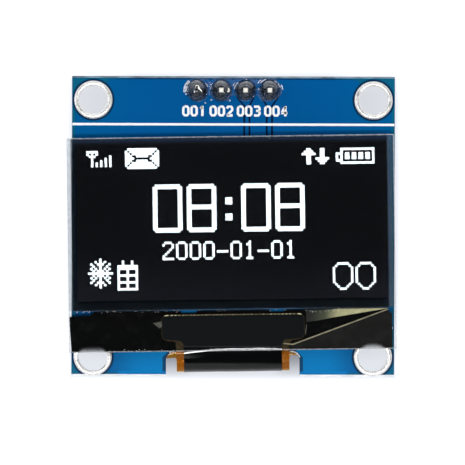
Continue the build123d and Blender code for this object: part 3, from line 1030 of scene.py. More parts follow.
def repeater() -> Tree:
    """Makes the tree that sets one pattern piece on every point, turned at random.

    Returns:
        The tree.
    """
    tree = Tree(
        "repeat_on_points",
        {
            "Pattern": "NodeSocketObject",
            "Finish": "NodeSocketMaterial",
            "Turn": "NodeSocketFloat",
            "Seed": "NodeSocketInt",
        },
    )
    source = tree.node("GeometryNodeObjectInfo", {"Object": tree.inputs["Pattern"]})
    turn = tree.node(
        "FunctionNodeRandomValue",
        {"Max": tree.inputs["Turn"], "Seed": tree.inputs["Seed"]},
        data_type="FLOAT",
    )
    spin = tree.node("ShaderNodeCombineXYZ", {"Z": turn.outputs[1]})
    placed = tree.node(
        "GeometryNodeInstanceOnPoints",
        {
            "Points": tree.inputs["Geometry"],
            "Instance": source.outputs["Geometry"],
            "Rotation": spin.outputs[0],
        },
    )
    tree.close(placed.outputs[0])
    return tree


def stroker() -> Tree:
    """Makes the tree that gives every line a flat printed stroke.

    Returns:
        The tree.
    """
    tree = Tree(
        "print_strokes",
        {"Finish": "NodeSocketMaterial", "Stroke": "NodeSocketFloat", "Thickness": "NodeSocketFloat"},
    )
    lines = tree.node("GeometryNodeMeshToCurve", {0: tree.inputs["Geometry"]})
    upright = tree.node("GeometryNodeSetCurveNormal", {0: lines.outputs[0]})
    try:
        upright.mode = "Z_UP"
    except AttributeError:
        upright.inputs["Mode"].default_value = "Z Up"
    section = tree.node(
        "GeometryNodeCurvePrimitiveQuadrilateral",
        {"Width": tree.inputs["Stroke"], "Height": tree.inputs["Thickness"]},
    )
    swept = tree.node(
        "GeometryNodeCurveToMesh",
        {"Curve": upright.outputs[0], "Profile Curve": section.outputs[0], "Fill Caps": True},
    )
    tree.close(swept.outputs[0])
    return tree


def settle(piece: Piece, slot: str, *nodes: str) -> Piece:
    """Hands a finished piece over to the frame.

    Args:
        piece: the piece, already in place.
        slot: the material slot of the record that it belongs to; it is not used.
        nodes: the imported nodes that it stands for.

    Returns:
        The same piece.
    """
    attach(piece, "root")
    if nodes:
        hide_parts(*nodes)
    LOG.info("%s: %d faces", piece.name, len(piece.data.polygons))
    return piece


def dress(finish: Material, *names: str) -> None:
    """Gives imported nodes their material.

    Args:
        finish: the material.
        names: node names, or the start of a numbered family ending in an underscore.
    """
    for node_name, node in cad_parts.items():
        if node_name in names or any(name.endswith("_") and node_name.startswith(name) for name in names):
            node.data.materials.clear()
            node.data.materials.append(finish)
            LOG.info("%s: %s", node_name, finish.name)


def lay(
    name: str,
    outline: Sequence[Point2],
    heights: Point2,
    finish: Material,
    slot: str,
    *nodes: str,
    place: Placing | None = None,
    bevel: float = 0.0,
    segments: int = 2,
    smooth: bool = False,
) -> None:
    """Raises an outline into one finished piece and hands it over.

    Args:
        name: the piece's name.
        outline: its corners in order.
        heights: heights of its lower and its upper face.
        finish: its material.
        slot: the material slot of the record that it belongs to.
        nodes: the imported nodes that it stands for.
        place: maps a corner and a height to the model's frame.
        bevel: width of its rounded edges in millimetres.
        segments: how many steps the rounding has.
        smooth: whether its faces are shaded smooth.
    """
    mesh = tidy_mesh(prism(name, outline, heights[0], heights[1], place), bevel, segments)
    settle(link_piece(name, mesh, finish, smooth), slot, *nodes)


class Workshop:
    """The two trees that every sub-assembly shares."""

    def __init__(self, seed: int = 7) -> None:
        """Builds both trees.

        Args:
            seed: where the copies' random turns start.
        """
        self.seed = seed
        self.copies = repeater()
        self.strokes = stroker()

    def repeat(
        self,
        name: str,
        mesh: Mesh,
        points: Iterable[Sequence[float]],
        finish: Material,
        smooth: bool = False,
        turn: float = 0.0,
    ) -> Piece:
        """Repeats one small mesh on every point.

        Args:
            name: the piece's name.
            mesh: the pattern, round the origin.
            points: places in millimetres.
            finish: its material.
            smooth: whether its faces are shaded smooth.
            turn: the most that a copy is turned, in radians.

        Returns:
            All the copies as one piece.
        """
        pattern = link_piece(mesh.name, mesh)
        values = {"Pattern": pattern, "Finish": finish, "Turn": turn, "Seed": self.seed}
        piece = self.copies.bake(name, mesh_of(name + "_points", points, []), values, smooth)
        bpy.data.objects.remove(pattern)
        return piece

    def stroke(
        self,
        name: str,
        chains: Iterable[Sequence[Sequence[float]]],
        section: Point2,
        finish: Material,
        slot: str,
        closed: bool = False,
    ) -> None:
        """Gives chains of points a flat stroke and hands the result over.

        Args:
            name: the piece's name.
            chains: places in millimetres, in order.
            section: width and thickness of the stroke.
            finish: its material.
            slot: the material slot of the record that it belongs to.
            closed: whether each chain is a loop.
        """
        points, edges = [], []
        for chain in chains:
            first, count = len(points), len(chain)
            points += chain
            edges += [
                (first + step, first + (step + 1) % count) for step in range(count if closed else count - 1)
            ]
        values = {"Finish": finish, "Stroke": section[0] * MM, "Thickness": section[1] * MM}
        settle(self.strokes.bake(name, mesh_of(name + "_lines", points, [], edges), values), slot)


@dataclass
class Panel:
    """The glass panel: its frame and its sheets."""

    shop: Workshop
    center: Point2 = (-0.15, 0.94)
    turn: float = 0.93
    glass_w: float = 34.2
    glass_shift: float = -0.05
    above: float = 8.7
    below: float = 13.72
    cap_below: float = 9.4
    emitter_w: float = 32.4
    emitter_above: float = 8.2
    emitter_below: float = 8.4
    recess: float = 0.25
    polarizer_w: float = 33.08
    polarizer_shift: float = -0.195
    polarizer_inset: float = 0.1
    cap_z: float = 1.54
    seal_z: float = 2.09
    glass_z: float = 2.19
    polarizer_z: float = 2.74
    top_z: float = 2.94
    skin: float = 0.004
    lift: float = 0.008
    dust_seed: int = 5
    dust_drift: float = 0.09
    dusty: tuple[tuple[float, float, float, int], ...] = (
        (-16.3, -14.9, -9.46, 9),
        (-15.0, -6.0, -9.5, 16),
        (-6.0, 8.0, -9.52, 10),
        (8.0, 11.2, -9.75, 9),
        (-13.4, -7.4, -13.55, 9),
        (11.0, 12.5, -9.5, 3),
        (3.0, 4.2, 8.52, 3),
        (16.6, 16.95, -11.6, 2),
    )
    edge_round: float = 0.06
    glass_chamfer: float = 0.1

    def place(self, x: float, y: float, z: float) -> Vector:
        """Maps a point of the panel to the model's frame."""
        angle = math.radians(self.turn)
        return Vector((
            self.center[0] + x * math.cos(angle) - y * math.sin(angle),
            self.center[1] + x * math.sin(angle) + y * math.cos(angle),
            z,
        ))

    def rectangle(self, above: float, below: float, width: float, shift: float) -> list[Point2]:
        """Returns the corners of an upright rectangle on the panel."""
        left, right = shift - width / 2, shift + width / 2
        return [(left, -below), (right, -below), (right, above), (left, above)]

    def lay(
        self,
        name: str,
        outline: Sequence[Point2],
        heights: Point2,
        finish: Material,
        slot: str,
        *nodes: str,
        **shape: object,
    ) -> None:
        """Raises an outline on the turned panel into one finished piece, as the function lay does."""
        lay(name, outline, heights, finish, slot, *nodes, place=self.place, **shape)

    def make_sheets(self) -> None:
        """Builds the front glass, the recessed rear glass and the dark film."""
        glass = GLASS.material()
        outline = self.rectangle(self.above, self.below, self.glass_w, self.glass_shift)
        heights = (self.glass_z + self.lift, self.polarizer_z - self.skin)
        chamfer = {"bevel": self.glass_chamfer, "segments": 1}
        self.lay("front_glass", outline, heights, glass, "clear_glass", "display_glass", **chamfer)
        self.make_rear_glass(glass)
        above = self.above - self.polarizer_inset
        outline = self.rectangle(above, self.cap_below, self.polarizer_w, self.polarizer_shift)
        heights = (self.polarizer_z + self.skin, self.top_z)
        film = POLARIZER.material()
        self.lay("front_polarizer", outline, heights, film, "polarizer", "polarizer", bevel=self.edge_round)

    def make_rear_glass(self, glass: Material) -> None:
        """Builds the rear glass with its etched recess.

        Args:
            glass: the glass material.
        """
        outer = self.rectangle(self.above, self.cap_below, self.glass_w, self.glass_shift)
        inner = self.rectangle(self.emitter_above, self.emitter_below, self.emitter_w, 0.0)
        low, high = self.cap_z + self.skin, self.seal_z - self.skin
        floor = self.seal_z - self.recess - self.skin
        points = [self.place(x, y, low) for x, y in outer] + [self.place(x, y, high) for x, y in outer]
        points += [self.place(x, y, high) for x, y in inner] + [self.place(x, y, floor) for x, y in inner]
        faces = [[3, 2, 1, 0], [12, 13, 14, 15]]
        for index in range(4):
            after = (index + 1) % 4
            for ring in (0, 4, 8):
                faces.append([ring + index, ring + after, ring + 4 + after, ring + 4 + index])
        mesh = tidy_mesh(mesh_of("rear_glass", points, faces))
        settle(link_piece("rear_glass", mesh, glass), "clear_glass", "cap_glass")

    def make_dust(self) -> None:
        """Scatters the pale specks that lie along the film's and the glass's edges."""
        source = random.Random(self.dust_seed)
        points = []
        for start, end, y, count in self.dusty:
            for _ in range(count):
                x = source.uniform(start, end)
                drift = source.uniform(-self.dust_drift, self.dust_drift)
                points.append(self.place(x, y + drift, self.polarizer_z + self.skin))
        bead = lathe(
            "speck_pattern", [(0.0, 0.035), (0.025, 0.028), (0.036, 0.0), (0.0, 0.0)], 8, closed=False
        )
        specks = self.shop.repeat("dust_specks", bead, points, DUST_AND_GLINT.material(), smooth=True)
        settle(specks, "clear_glass")

    def dress_nodes(self) -> None:
        """Gives the panel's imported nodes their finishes."""
        dress(EMITTER.material(), "emitter_film")
        dress(SEAL.material(), "seal_frame")
        dress(DESICCANT.material(), "desiccant_sheet")
        dress(FOAM.material(), "mounting_pad")


GLYPHS: dict[str, list[list[tuple[int, int]]]] = {
    "0": [[(1, 0), (3, 0), (4, 1), (4, 6), (3, 7), (1, 7), (0, 6), (0, 1), (1, 0)]],
    "1": [[(1, 1), (2, 0), (2, 7)], [(1, 7), (3, 7)]],
    "2": [[(0, 1), (1, 0), (3, 0), (4, 1), (4, 2), (0, 6), (0, 7), (4, 7)]],
    "-": [[(0, 4), (4, 4)]],
}


@dataclass
class Screen:
    """What the panel shows, drawn as lines and blocks on its grid of dots."""

    panel: Panel
    columns: int = 128
    rows: int = 64
    pitch: Point2 = (0.2369, 0.2393)
    shift: Point2 = (0.073, -0.094)
    dot: float = 0.26
    dot_t: float = 0.0013
    layer: float = 0.0018
    lit: set[tuple[int, int]] = field(default_factory=set)

    def fill(self, left: int, top: int, right: int, bottom: int, on: bool = True) -> None:
        """Lights or clears a block of dots, both ends included."""
        block = {(column, row) for column in range(left, right + 1) for row in range(top, bottom + 1)}
        self.lit = self.lit | block if on else self.lit - block

    def line(self, start: tuple[int, int], end: tuple[int, int], shift: tuple[int, int] = (0, 0)) -> None:
        """Lights the dots along a straight line between two dots.

        Args:
            start, end: the two dots, by column and row.
            shift: how far both are moved.
        """
        steps = max(abs(end[0] - start[0]), abs(end[1] - start[1]), 1)
        for step in range(steps + 1):
            column = round(start[0] + (end[0] - start[0]) * step / steps) + shift[0]
            row = round(start[1] + (end[1] - start[1]) * step / steps) + shift[1]
            self.lit.add((column, row))

    def path(self, points: Sequence[tuple[int, int]], left: int, top: int) -> None:
        """Lights a chain of lines whose places count from one dot."""
        for start, end in zip(points, points[1:]):
            self.line(start, end, (left, top))

    def clock_digit(self, mark: str, left: int, top: int, width: int = 13, height: int = 21) -> None:
        """Draws one large digit, two dots thick with clipped corners.

        Args:
            mark: a nought or an eight.
            left, top: its first column and row.
            width, height: its size in dots.
        """
        right, bottom = left + width - 1, top + height - 1
        self.fill(left, top, right, bottom)
        self.fill(left + 2, top + 2, right - 2, bottom - 2, on=False)
        self.lit -= {(left, top), (right, top), (left, bottom), (right, bottom)}
        if mark == "8":
            self.fill(left + 2, top + height // 2 - 1, right - 2, top + height // 2)

    def draw_status(self) -> None:
        """Draws the row of small signs along the top."""
        self.fill(0, 1, 4, 2)
        self.fill(1, 3, 3, 3)
        self.fill(2, 4, 2, 7)
        self.lit -= {(1, 2), (3, 2)}
        for bar, column in enumerate((4, 6, 8, 10)):
            self.fill(column, 6 - bar, column, 7)
        self.fill(17, 0, 31, 8)
        self.lit -= {(17, 0), (31, 0), (17, 8), (31, 8)}
        for step in (1, 2, 3):
            for column in (17 + step, 31 - step):
                self.lit -= {(column, step), (column, 8 - step)}
        self.fill(21, 4, 27, 4, on=False)
        self.lit -= {(21, 3), (21, 5), (27, 3), (27, 5)}
        for step in range(3):
            self.fill(97 - step, 1 + step, 98 + step, 1 + step)
            self.fill(103 - step, 7 - step, 104 + step, 7 - step)
        self.fill(97, 4, 98, 7)
        self.fill(103, 1, 104, 4)
        self.fill(112, 1, 126, 7)
        self.fill(113, 2, 125, 6, on=False)
        self.fill(110, 3, 111, 6)
        self.fill(111, 4, 111, 5, on=False)
        for cell in range(4):
            self.fill(114 + 3 * cell, 3, 115 + 3 * cell, 5)

    def draw_clock(self) -> None:
        """Draws the large digits, the two squares between them and the line of small numbers."""
        for mark, left in zip("0808", (29, 44, 68, 83)):
            self.clock_digit(mark, left, 16)
        self.fill(61, 22, 63, 24)
        self.fill(61, 29, 63, 31)
        for index, mark in enumerate("2000-01-01"):
            for chain in GLYPHS[mark]:
                self.path(chain, 33 + 6 * index, 41)

    def draw_corners(self) -> None:
        """Draws two plain pictograms at the lower left and a plain number at the lower right."""
        center = (5, 54)
        for reach_x, reach_y in ((0, 6), (5, 0), (4, 4), (4, -4)):
            self.line((center[0] - reach_x, center[1] - reach_y), (center[0] + reach_x, center[1] + reach_y))
        for side in (-1, 1):
            self.path([(-2, side * 5), (0, side * 3), (2, side * 5)], *center)
            self.path([(side * 4, -2), (side * 2, 0), (side * 4, 2)], *center)
        self.path([(0, 0), (8, 0), (8, 10), (0, 10), (0, 0)], 13, 51)
        for drop in (1, 4, 7):
            self.path([(0, drop), (8, drop)], 13, 51)
        self.path([(4, 1), (4, 10)], 13, 51)
        self.fill(15, 49, 15, 51)
        self.fill(19, 49, 19, 51)
        for left in (108, 118):
            self.path([(2, 0), (6, 0), (8, 2), (8, 8), (5, 11), (3, 11), (0, 8), (0, 2), (2, 0)], left, 51)

    def make(self) -> None:
        """Sets one small lit pad on every lit dot.

        Neighbouring pads overlap a little, as glowing dots do, so they lie in four thin layers.
        """
        self.draw_status()
        self.draw_clock()
        self.draw_corners()
        low = self.panel.glass_z + 0.0005
        half = self.dot / 2
        clip = half * 0.6
        right = [(half, -clip), (half, clip), (clip, half)]
        left = [(-clip, half), (-half, clip), (-half, -clip), (-clip, -half)]
        pad = prism("dot_pattern", right + left + [(clip, -half)], 0, self.dot_t)
        pad.transform(Matrix.Rotation(math.radians(self.panel.turn), 4, "Z"))
        points = []
        for column, row in sorted(self.lit):
            x = (column + 0.5 - self.columns / 2) * self.pitch[0] + self.shift[0]
            y = (self.rows / 2 - row - 0.5) * self.pitch[1] + self.shift[1]
            points.append(self.panel.place(x, y, low + (2 * (row % 2) + column % 2) * self.layer))
        settle(self.panel.shop.repeat("lit_dots", pad, points, LIT.material()), "emitter")


@dataclass
class Cable:
    """The folded film cable and its black cover."""

    panel: Panel
    film_t: float = 0.1
    cover_t: float = 0.05
    head: tuple[float, float] = (14.94, -0.01)
    head_top: float = 9.86
    head_bottom: float = 12.63
    neck: tuple[float, float] = (11.8, -0.06)
    tail_w: float = 20.0
    tail_shoulder: float = 14.2
    tail_end: float = 9.1
    corner_r: float = 0.6
    fold_top: float = 13.6
    crown_from: float = 13.36
    bow: float = 0.16
    bow_center: float = 0.6
    bow_half: float = 5.2
    bow_sides: tuple[float, float] = (2.0, 0.75)
    fold_outer: float = 15.9
    crown_drop: float = 0.55
    back_drop: float = 0.5
    landing: float = 13.3
    radii: tuple[float, ...] = (2.6, 1.0, 1.0, 1.5)
    cover_head_inset: float = 0.06
    cover_neck_w: float = 10.24
    cover_top: float = 10.03
    cover_end: float = 14.5
    gap: float = 0.003
    strip_w: float = 0.1
    strip_t: float = 0.015
    strip_inset: float = 0.09
    strip_from: float = 6.75
    fingers: int = 33
    finger_pitch: float = 0.4
    finger: Point2 = (0.24, 0.075)
    columns: int = 24
    wave: float = 0.006

    def route(self, top: float, back_end: float) -> list[Point2]:
        """Returns the rounded line between film and cover.

        Args:
            top: how far below the panel's origin it starts.
            back_end: how far below it ends on the back.

        Returns:
            Points of drop and height, closely spaced.
        """
        film_z = self.panel.glass_z - self.cover_t
        rise = (self.back_drop - self.film_t) / (self.fold_outer - self.landing)
        corners = [(top, film_z), (self.fold_top, film_z)]
        corners += [(self.fold_outer, film_z - self.crown_drop), (self.fold_outer, -self.back_drop)]
        if back_end < self.landing:
            corners += [(self.landing, -self.film_t), (back_end, -self.film_t)]
        else:
            corners.append((back_end, -self.film_t - (back_end - self.landing) * rise))
        line = [corners[0]]
        for index in range(1, len(corners) - 1):
            before, here, after = (Vector(corners[index + step]) for step in (-1, 0, 1))
            entering, leaving = (here - before).normalized(), (after - here).normalized()
            turn = entering.angle(leaving)
            reach = self.radii[index - 1] * math.tan(turn / 2)
            steps = max(4, round(math.degrees(turn) / 5))
            for step in range(steps + 1):
                share = step / steps
                start, end = here - entering * reach, here + leaving * reach
                blend = start.lerp(here, share).lerp(here.lerp(end, share), share)
                line.append((blend.x, blend.y))
        line.append(corners[-1])
        return self.even(line)

    def even(self, line: list[Point2], spacing: float = 0.12) -> list[Point2]:
        """Adds points on the long runs of a line.

        Args:
            line: its points.
            spacing: the longest run that stays.

        Returns:
            The points of the same line, closely spaced.
        """
        result = [line[0]]
        for start, end in zip(line, line[1:]):
            steps = max(1, math.ceil(math.dist(start, end) / spacing))
            for step in range(1, steps + 1):
                share = step / steps
                result.append(
                    (start[0] + (end[0] - start[0]) * share, start[1] + (end[1] - start[1]) * share)
                )
        return result

    def limits(self, drop: float, front: bool, widths: Sequence[float]) -> Point2:
        """Returns the film's left and right edges at one place.

        Args:
            drop: distance below the panel's origin.
            front: whether the place is before the fold.
            widths: wide and narrow width, and where the wide stretches end in front and behind.

        Returns:
            The two edges.
        """
        wide, narrow = (widths[0] if front else self.tail_w) / 2, widths[1] / 2
        center, end = (self.head[1], widths[2]) if front else (self.neck[1], widths[3])
        radius = self.corner_r
        if drop <= end:
            start = self.head_top if front else self.tail_end
            near = max(0.0, drop - (end - radius), start + radius - drop)
            half = wide - radius + math.sqrt(max(0.0, radius ** 2 - near ** 2))
            return center - half, center + half
        near = max(0.0, end + radius - drop)
        half = narrow + radius - math.sqrt(max(0.0, radius ** 2 - near ** 2))
        return self.neck[1] - half, self.neck[1] + half

    def sag(self, x: float, drop: float) -> float:
        """Bends the fold's crown, more towards its left side.

        Args:
            x: the place across the film.
            drop: its distance below the panel's origin.

        Returns:
            How much later the film turns down there.
        """
        across = (x - self.bow_center) / self.bow_half
        near = max(0.0, 1 - abs(drop - self.fold_top) / 0.9)
        return self.bow * near * across ** 2 * self.bow_sides[0 if across < 0 else 1]

    def ribbon(
        self,
        name: str,
        line: list[Point2],
        inner: float,
        outer: float,
        widths: tuple[float, float, float, float],
        wave: float,
    ) -> Mesh:
        """Builds a thin closed shell along a line.

        Args:
            name: the mesh's name.
            line: points of drop and height.
            inner, outer: offsets of its two skins from the line, positive outwards.
            widths: wide and narrow width, and where the wide stretches end in front and behind.
            wave: depth of the slow waves over the free fold.

        Returns:
            The shell's mesh.
        """
        rows = []
        turned = False
        for index, (drop, height) in enumerate(line):
            before, after = line[max(index - 1, 0)], line[min(index + 1, len(line) - 1)]
            along = Vector((after[0] - before[0], after[1] - before[1])).normalized()
            out = Vector((-along.y, along.x))
            turned = turned or height < self.panel.glass_z * 0.3
            left, right = self.limits(drop, not turned, widths)
            free = min(1.0, max(0.0, (drop - self.crown_from) / 0.8))
            rows.append((drop, height, out, left, right, free))
        skins = []
        for offset in (outer, inner):
            for drop, height, out, left, right, free in rows:
                for step in range(self.columns + 1):
                    x = left + (right - left) * step / self.columns
                    sway = wave * free * (math.sin(x * 0.9 + 0.7) + 0.5 * math.sin(x * 2.3 + drop * 1.7))
                    y, z = -(drop + out.x * (offset + sway)), height + out.y * (offset + sway)
                    y -= self.sag(x, drop)
                    skins.append(self.panel.place(x, y, z))
        across, count = self.columns + 1, len(rows)
        shift = across * count
        faces = []
        for row in range(count - 1):
            for column in range(self.columns):
                corner = row * across + column
                faces.append([corner, corner + 1, corner + across + 1, corner + across])
                faces.append(
                    [
                        shift + corner,
                        shift + corner + across,
                        shift + corner + across + 1,
                        shift + corner + 1,
                    ]
                )
            for column in (0, self.columns):
                corner = row * across + column
                faces.append([corner, corner + across, shift + corner + across, shift + corner])
        for row in (0, count - 1):
            for column in range(self.columns):
                corner = row * across + column
                faces.append([corner, corner + 1, shift + corner + 1, shift + corner])
        return tidy_mesh(mesh_of(name, skins, faces))

    def strip_outline(self, side: int) -> list[Point2]:
        """Draws one solid strip that ends the row of fingers and turns down at a corner of the head.

        Args:
            side: -1 on the left and 1 on the right.

        Returns:
            Its outline.
        """
        row_y = -(self.head_top + self.strip_inset)
        corner = (self.head[1] + side * (self.head[0] / 2 - self.corner_r), -(self.head_top + self.corner_r))
        line = [(self.head[1] + side * self.strip_from, row_y)]
        line += arc_points(corner, self.corner_r - self.strip_inset, 90, 90 - side * 62, 8)
        upper, lower = [], []
        for index, here in enumerate(line):
            before, after = line[max(index - 1, 0)], line[min(index + 1, len(line) - 1)]
            along = Vector((after[0] - before[0], after[1] - before[1])).normalized()
            half = self.strip_w / 2 * (1.0 if index < len(line) - 3 else 0.6)
            upper.append((here[0] - along.y * half, here[1] + along.x * half))
            lower.append((here[0] + along.y * half, here[1] - along.x * half))
        return upper + lower[::-1]

    def make_strips(self) -> None:
        """Lays the solid gold strips at both ends of the row of fingers."""
        height = self.panel.glass_z - self.cover_t + self.panel.skin
        finish = RAW_GOLD.material()
        for number, side in enumerate((-1, 1), start=1):
            heights = (height, height + self.strip_t)
            self.panel.lay(f"end_strip_{number}", self.strip_outline(side), heights, finish, "gold")

    def make_fingers(self) -> None:
        """Repeats one gold finger along the head's upper edge."""
        height = self.panel.glass_z - self.cover_t + self.panel.skin
        pad = prism("finger_pattern", box(self.finger[0], self.finger[1]), 0, self.strip_t)
        pad.transform(Matrix.Rotation(math.radians(self.panel.turn), 4, "Z"))
        row_y = -(self.head_top + self.strip_inset)
        steps = [index - (self.fingers - 1) / 2 for index in range(self.fingers)]
        points = [self.panel.place(self.head[1] + step * self.finger_pitch, row_y, height) for step in steps]
        row = self.panel.shop.repeat("gold_fingers", pad, points, GOLD.material())
        settle(row, "gold", "bond_fingers")

    def make(self) -> None:
        """Builds the film and its cover and dresses what sits on them."""
        film_widths = (self.head[0], self.neck[0], self.head_bottom, self.tail_shoulder)
        inset = self.cover_head_inset
        cover_widths = (self.head[0] - 2 * inset, self.cover_neck_w, self.head_bottom - inset, 0.0)
        film_line = self.route(self.head_top, self.tail_end)
        cover_line = self.route(self.cover_top, self.cover_end)
        film = self.ribbon("film", film_line, -self.film_t, 0.0, film_widths, self.wave)
        cover = self.ribbon("cover", cover_line, self.gap, self.cover_t, cover_widths, self.wave)
        layers = (
            ("folded_film", film, AMBER, "amber_film", "flex_cable"),
            ("film_cover", cover, BLACK_FILM, "black_film", "flex_cover"),
        )
        for name, mesh, finish, slot, node in layers:
            piece = link_piece(name, mesh, finish.material(), smooth=True)
            mesh.set_sharp_from_angle(angle=math.radians(40))
            settle(piece, slot, node)
        self.make_strips()
        self.make_fingers()
        dress(SILICON.material(), "driver_chip")


@dataclass
class Tapes:
    """The black tapes under the ledge and the beige backing that shows between them."""

    panel: Panel
    seam: tuple[Point2, ...] = ((16.2, -9.66), (6.23, -13.21), (5.25, -13.09))
    seam_w: float = 0.13
    seam_t: float = 0.03
    depth: float = 0.03
    low_z: float = 1.592
    step_z: float = 1.7
    liner_z: float = 2.1
    high_z: float = 2.186
    scrap_t: float = 0.007
    top_y: float = -9.55
    foot_y: float = -13.7
    shoulder: Point2 = (16.62, -10.1)

    def make_tapes(self) -> None:
        """Builds the tapes: a low sheet under the film's head, raised parts beside it and a second piece."""
        foot, top = self.foot_y, self.top_y
        left_end = [(-17.14, -9.97), (-14.94, -9.89), (-14.5, top)]
        notches = [(-5.5, top), (-5.3, -9.76), (-3.9, -9.76), (-3.7, top)]
        notches += [(3.8, top), (4.0, -9.74), (5.3, -9.74), (5.5, top)]
        seam_side = [(16.05, top), (16.05, -9.565), (6.1, -13.107), (5.89, -13.107)]
        left_foot = [(6.02, -13.14), (6.02, foot), (-16.92, foot)]
        low = left_end + notches + seam_side[:-1] + left_foot
        left = left_end + [(-7.54, top), (-7.54, -12.72), (-6.03, -12.72), (-6.03, foot), (-16.92, foot)]
        right = [(7.52, top)] + seam_side + [(5.9, -12.72), (7.52, -12.72)]
        corner, seam_foot = self.seam[0], self.seam[1]
        over = [
            corner, self.shoulder, (self.shoulder[0], foot), (6.03, foot), (6.03, seam_foot[1]), seam_foot
        ]
        black = SHIELD_TAPE.material()
        pieces = (
            ("tape_sheet", low, (self.low_z, self.step_z), black, ["shield_tape"]),
            ("tape_left", left, (self.step_z, self.high_z), black, []),
            ("tape_right", right, (self.step_z, self.liner_z), black, []),
            ("second_tape", over, (self.low_z, self.high_z), OVERLAP_TAPE.material(), ["overlap_tape"]),
        )
        for name, outline, heights, finish, nodes in pieces:
            self.panel.lay(name, outline, heights, finish, "black_tape", *nodes)

    def make(self) -> None:
        """Builds the tapes and lays the beige strips that show between and beside them."""
        self.make_tapes()
        dress(LINER.material(), "liner_corner")
        low = self.panel.glass_z - self.depth - self.seam_t
        top, foot, hook = self.seam
        rise = self.seam_w
        seam = [
            top, (top[0], top[1] + rise), (foot[0] - 0.03, foot[1] + rise), (hook[0], hook[1] + rise * 0.8)
        ]
        seam += [hook, foot]
        backing = [(7.65, -9.56), (7.65, -10.84), (9.0, -10.66), (11.2, -10.25), (11.2, -9.56)]
        left = [(-8.35, -10.75), (-7.5, -10.55), (-7.42, -11.05), (-7.68, -11.3)]
        right = [(7.5, -11.9), (7.64, -11.1), (7.58, -10.9), (7.7, -11.2), (7.58, -12.2)]
        strips = (
            ("beige_seam", seam, low, self.seam_t, SEAM),
            ("stained_backing", backing, self.liner_z + 0.001, self.scrap_t, LINER),
            ("scrap_left", left, self.high_z + 0.001, self.scrap_t, SCRAP),
            ("scrap_right", right, self.high_z + 0.001, self.scrap_t, SCRAP),
        )
        for name, outline, foot_z, thickness, finish in strips:
            self.panel.lay(name, outline, (foot_z, foot_z + thickness), finish.material(), "beige_tape")


LABEL_MARKS: dict[str, list[list[Point2]]] = {
    "0": [[(0.25, 1), (0.75, 1), (1, 0.8), (1, 0.2), (0.75, 0), (0.25, 0), (0, 0.2), (0, 0.8), (0.25, 1)]],
    "1": [[(0.15, 0.76), (0.5, 0.98)], [(0.52, 1.08), (0.52, -0.08)]],
    "2": [[(0, 0.78), (0.2, 1), (0.8, 1), (1, 0.78), (1, 0.6), (0.08, 0.04)], [(-0.08, 0), (1.08, 0)]],
    "3": [
        [(-0.05, 1), (0.8, 1), (1, 0.82), (1, 0.66), (0.8, 0.52), (0.35, 0.52)],
        [(0.8, 0.5), (1, 0.36), (1, 0.18), (0.8, 0), (-0.05, 0)],
    ],
    "4": [[(0.72, -0.08), (0.72, 1.08)], [(0.72, 1.0), (0.02, 0.36)], [(-0.08, 0.3), (1.1, 0.3)]],
}


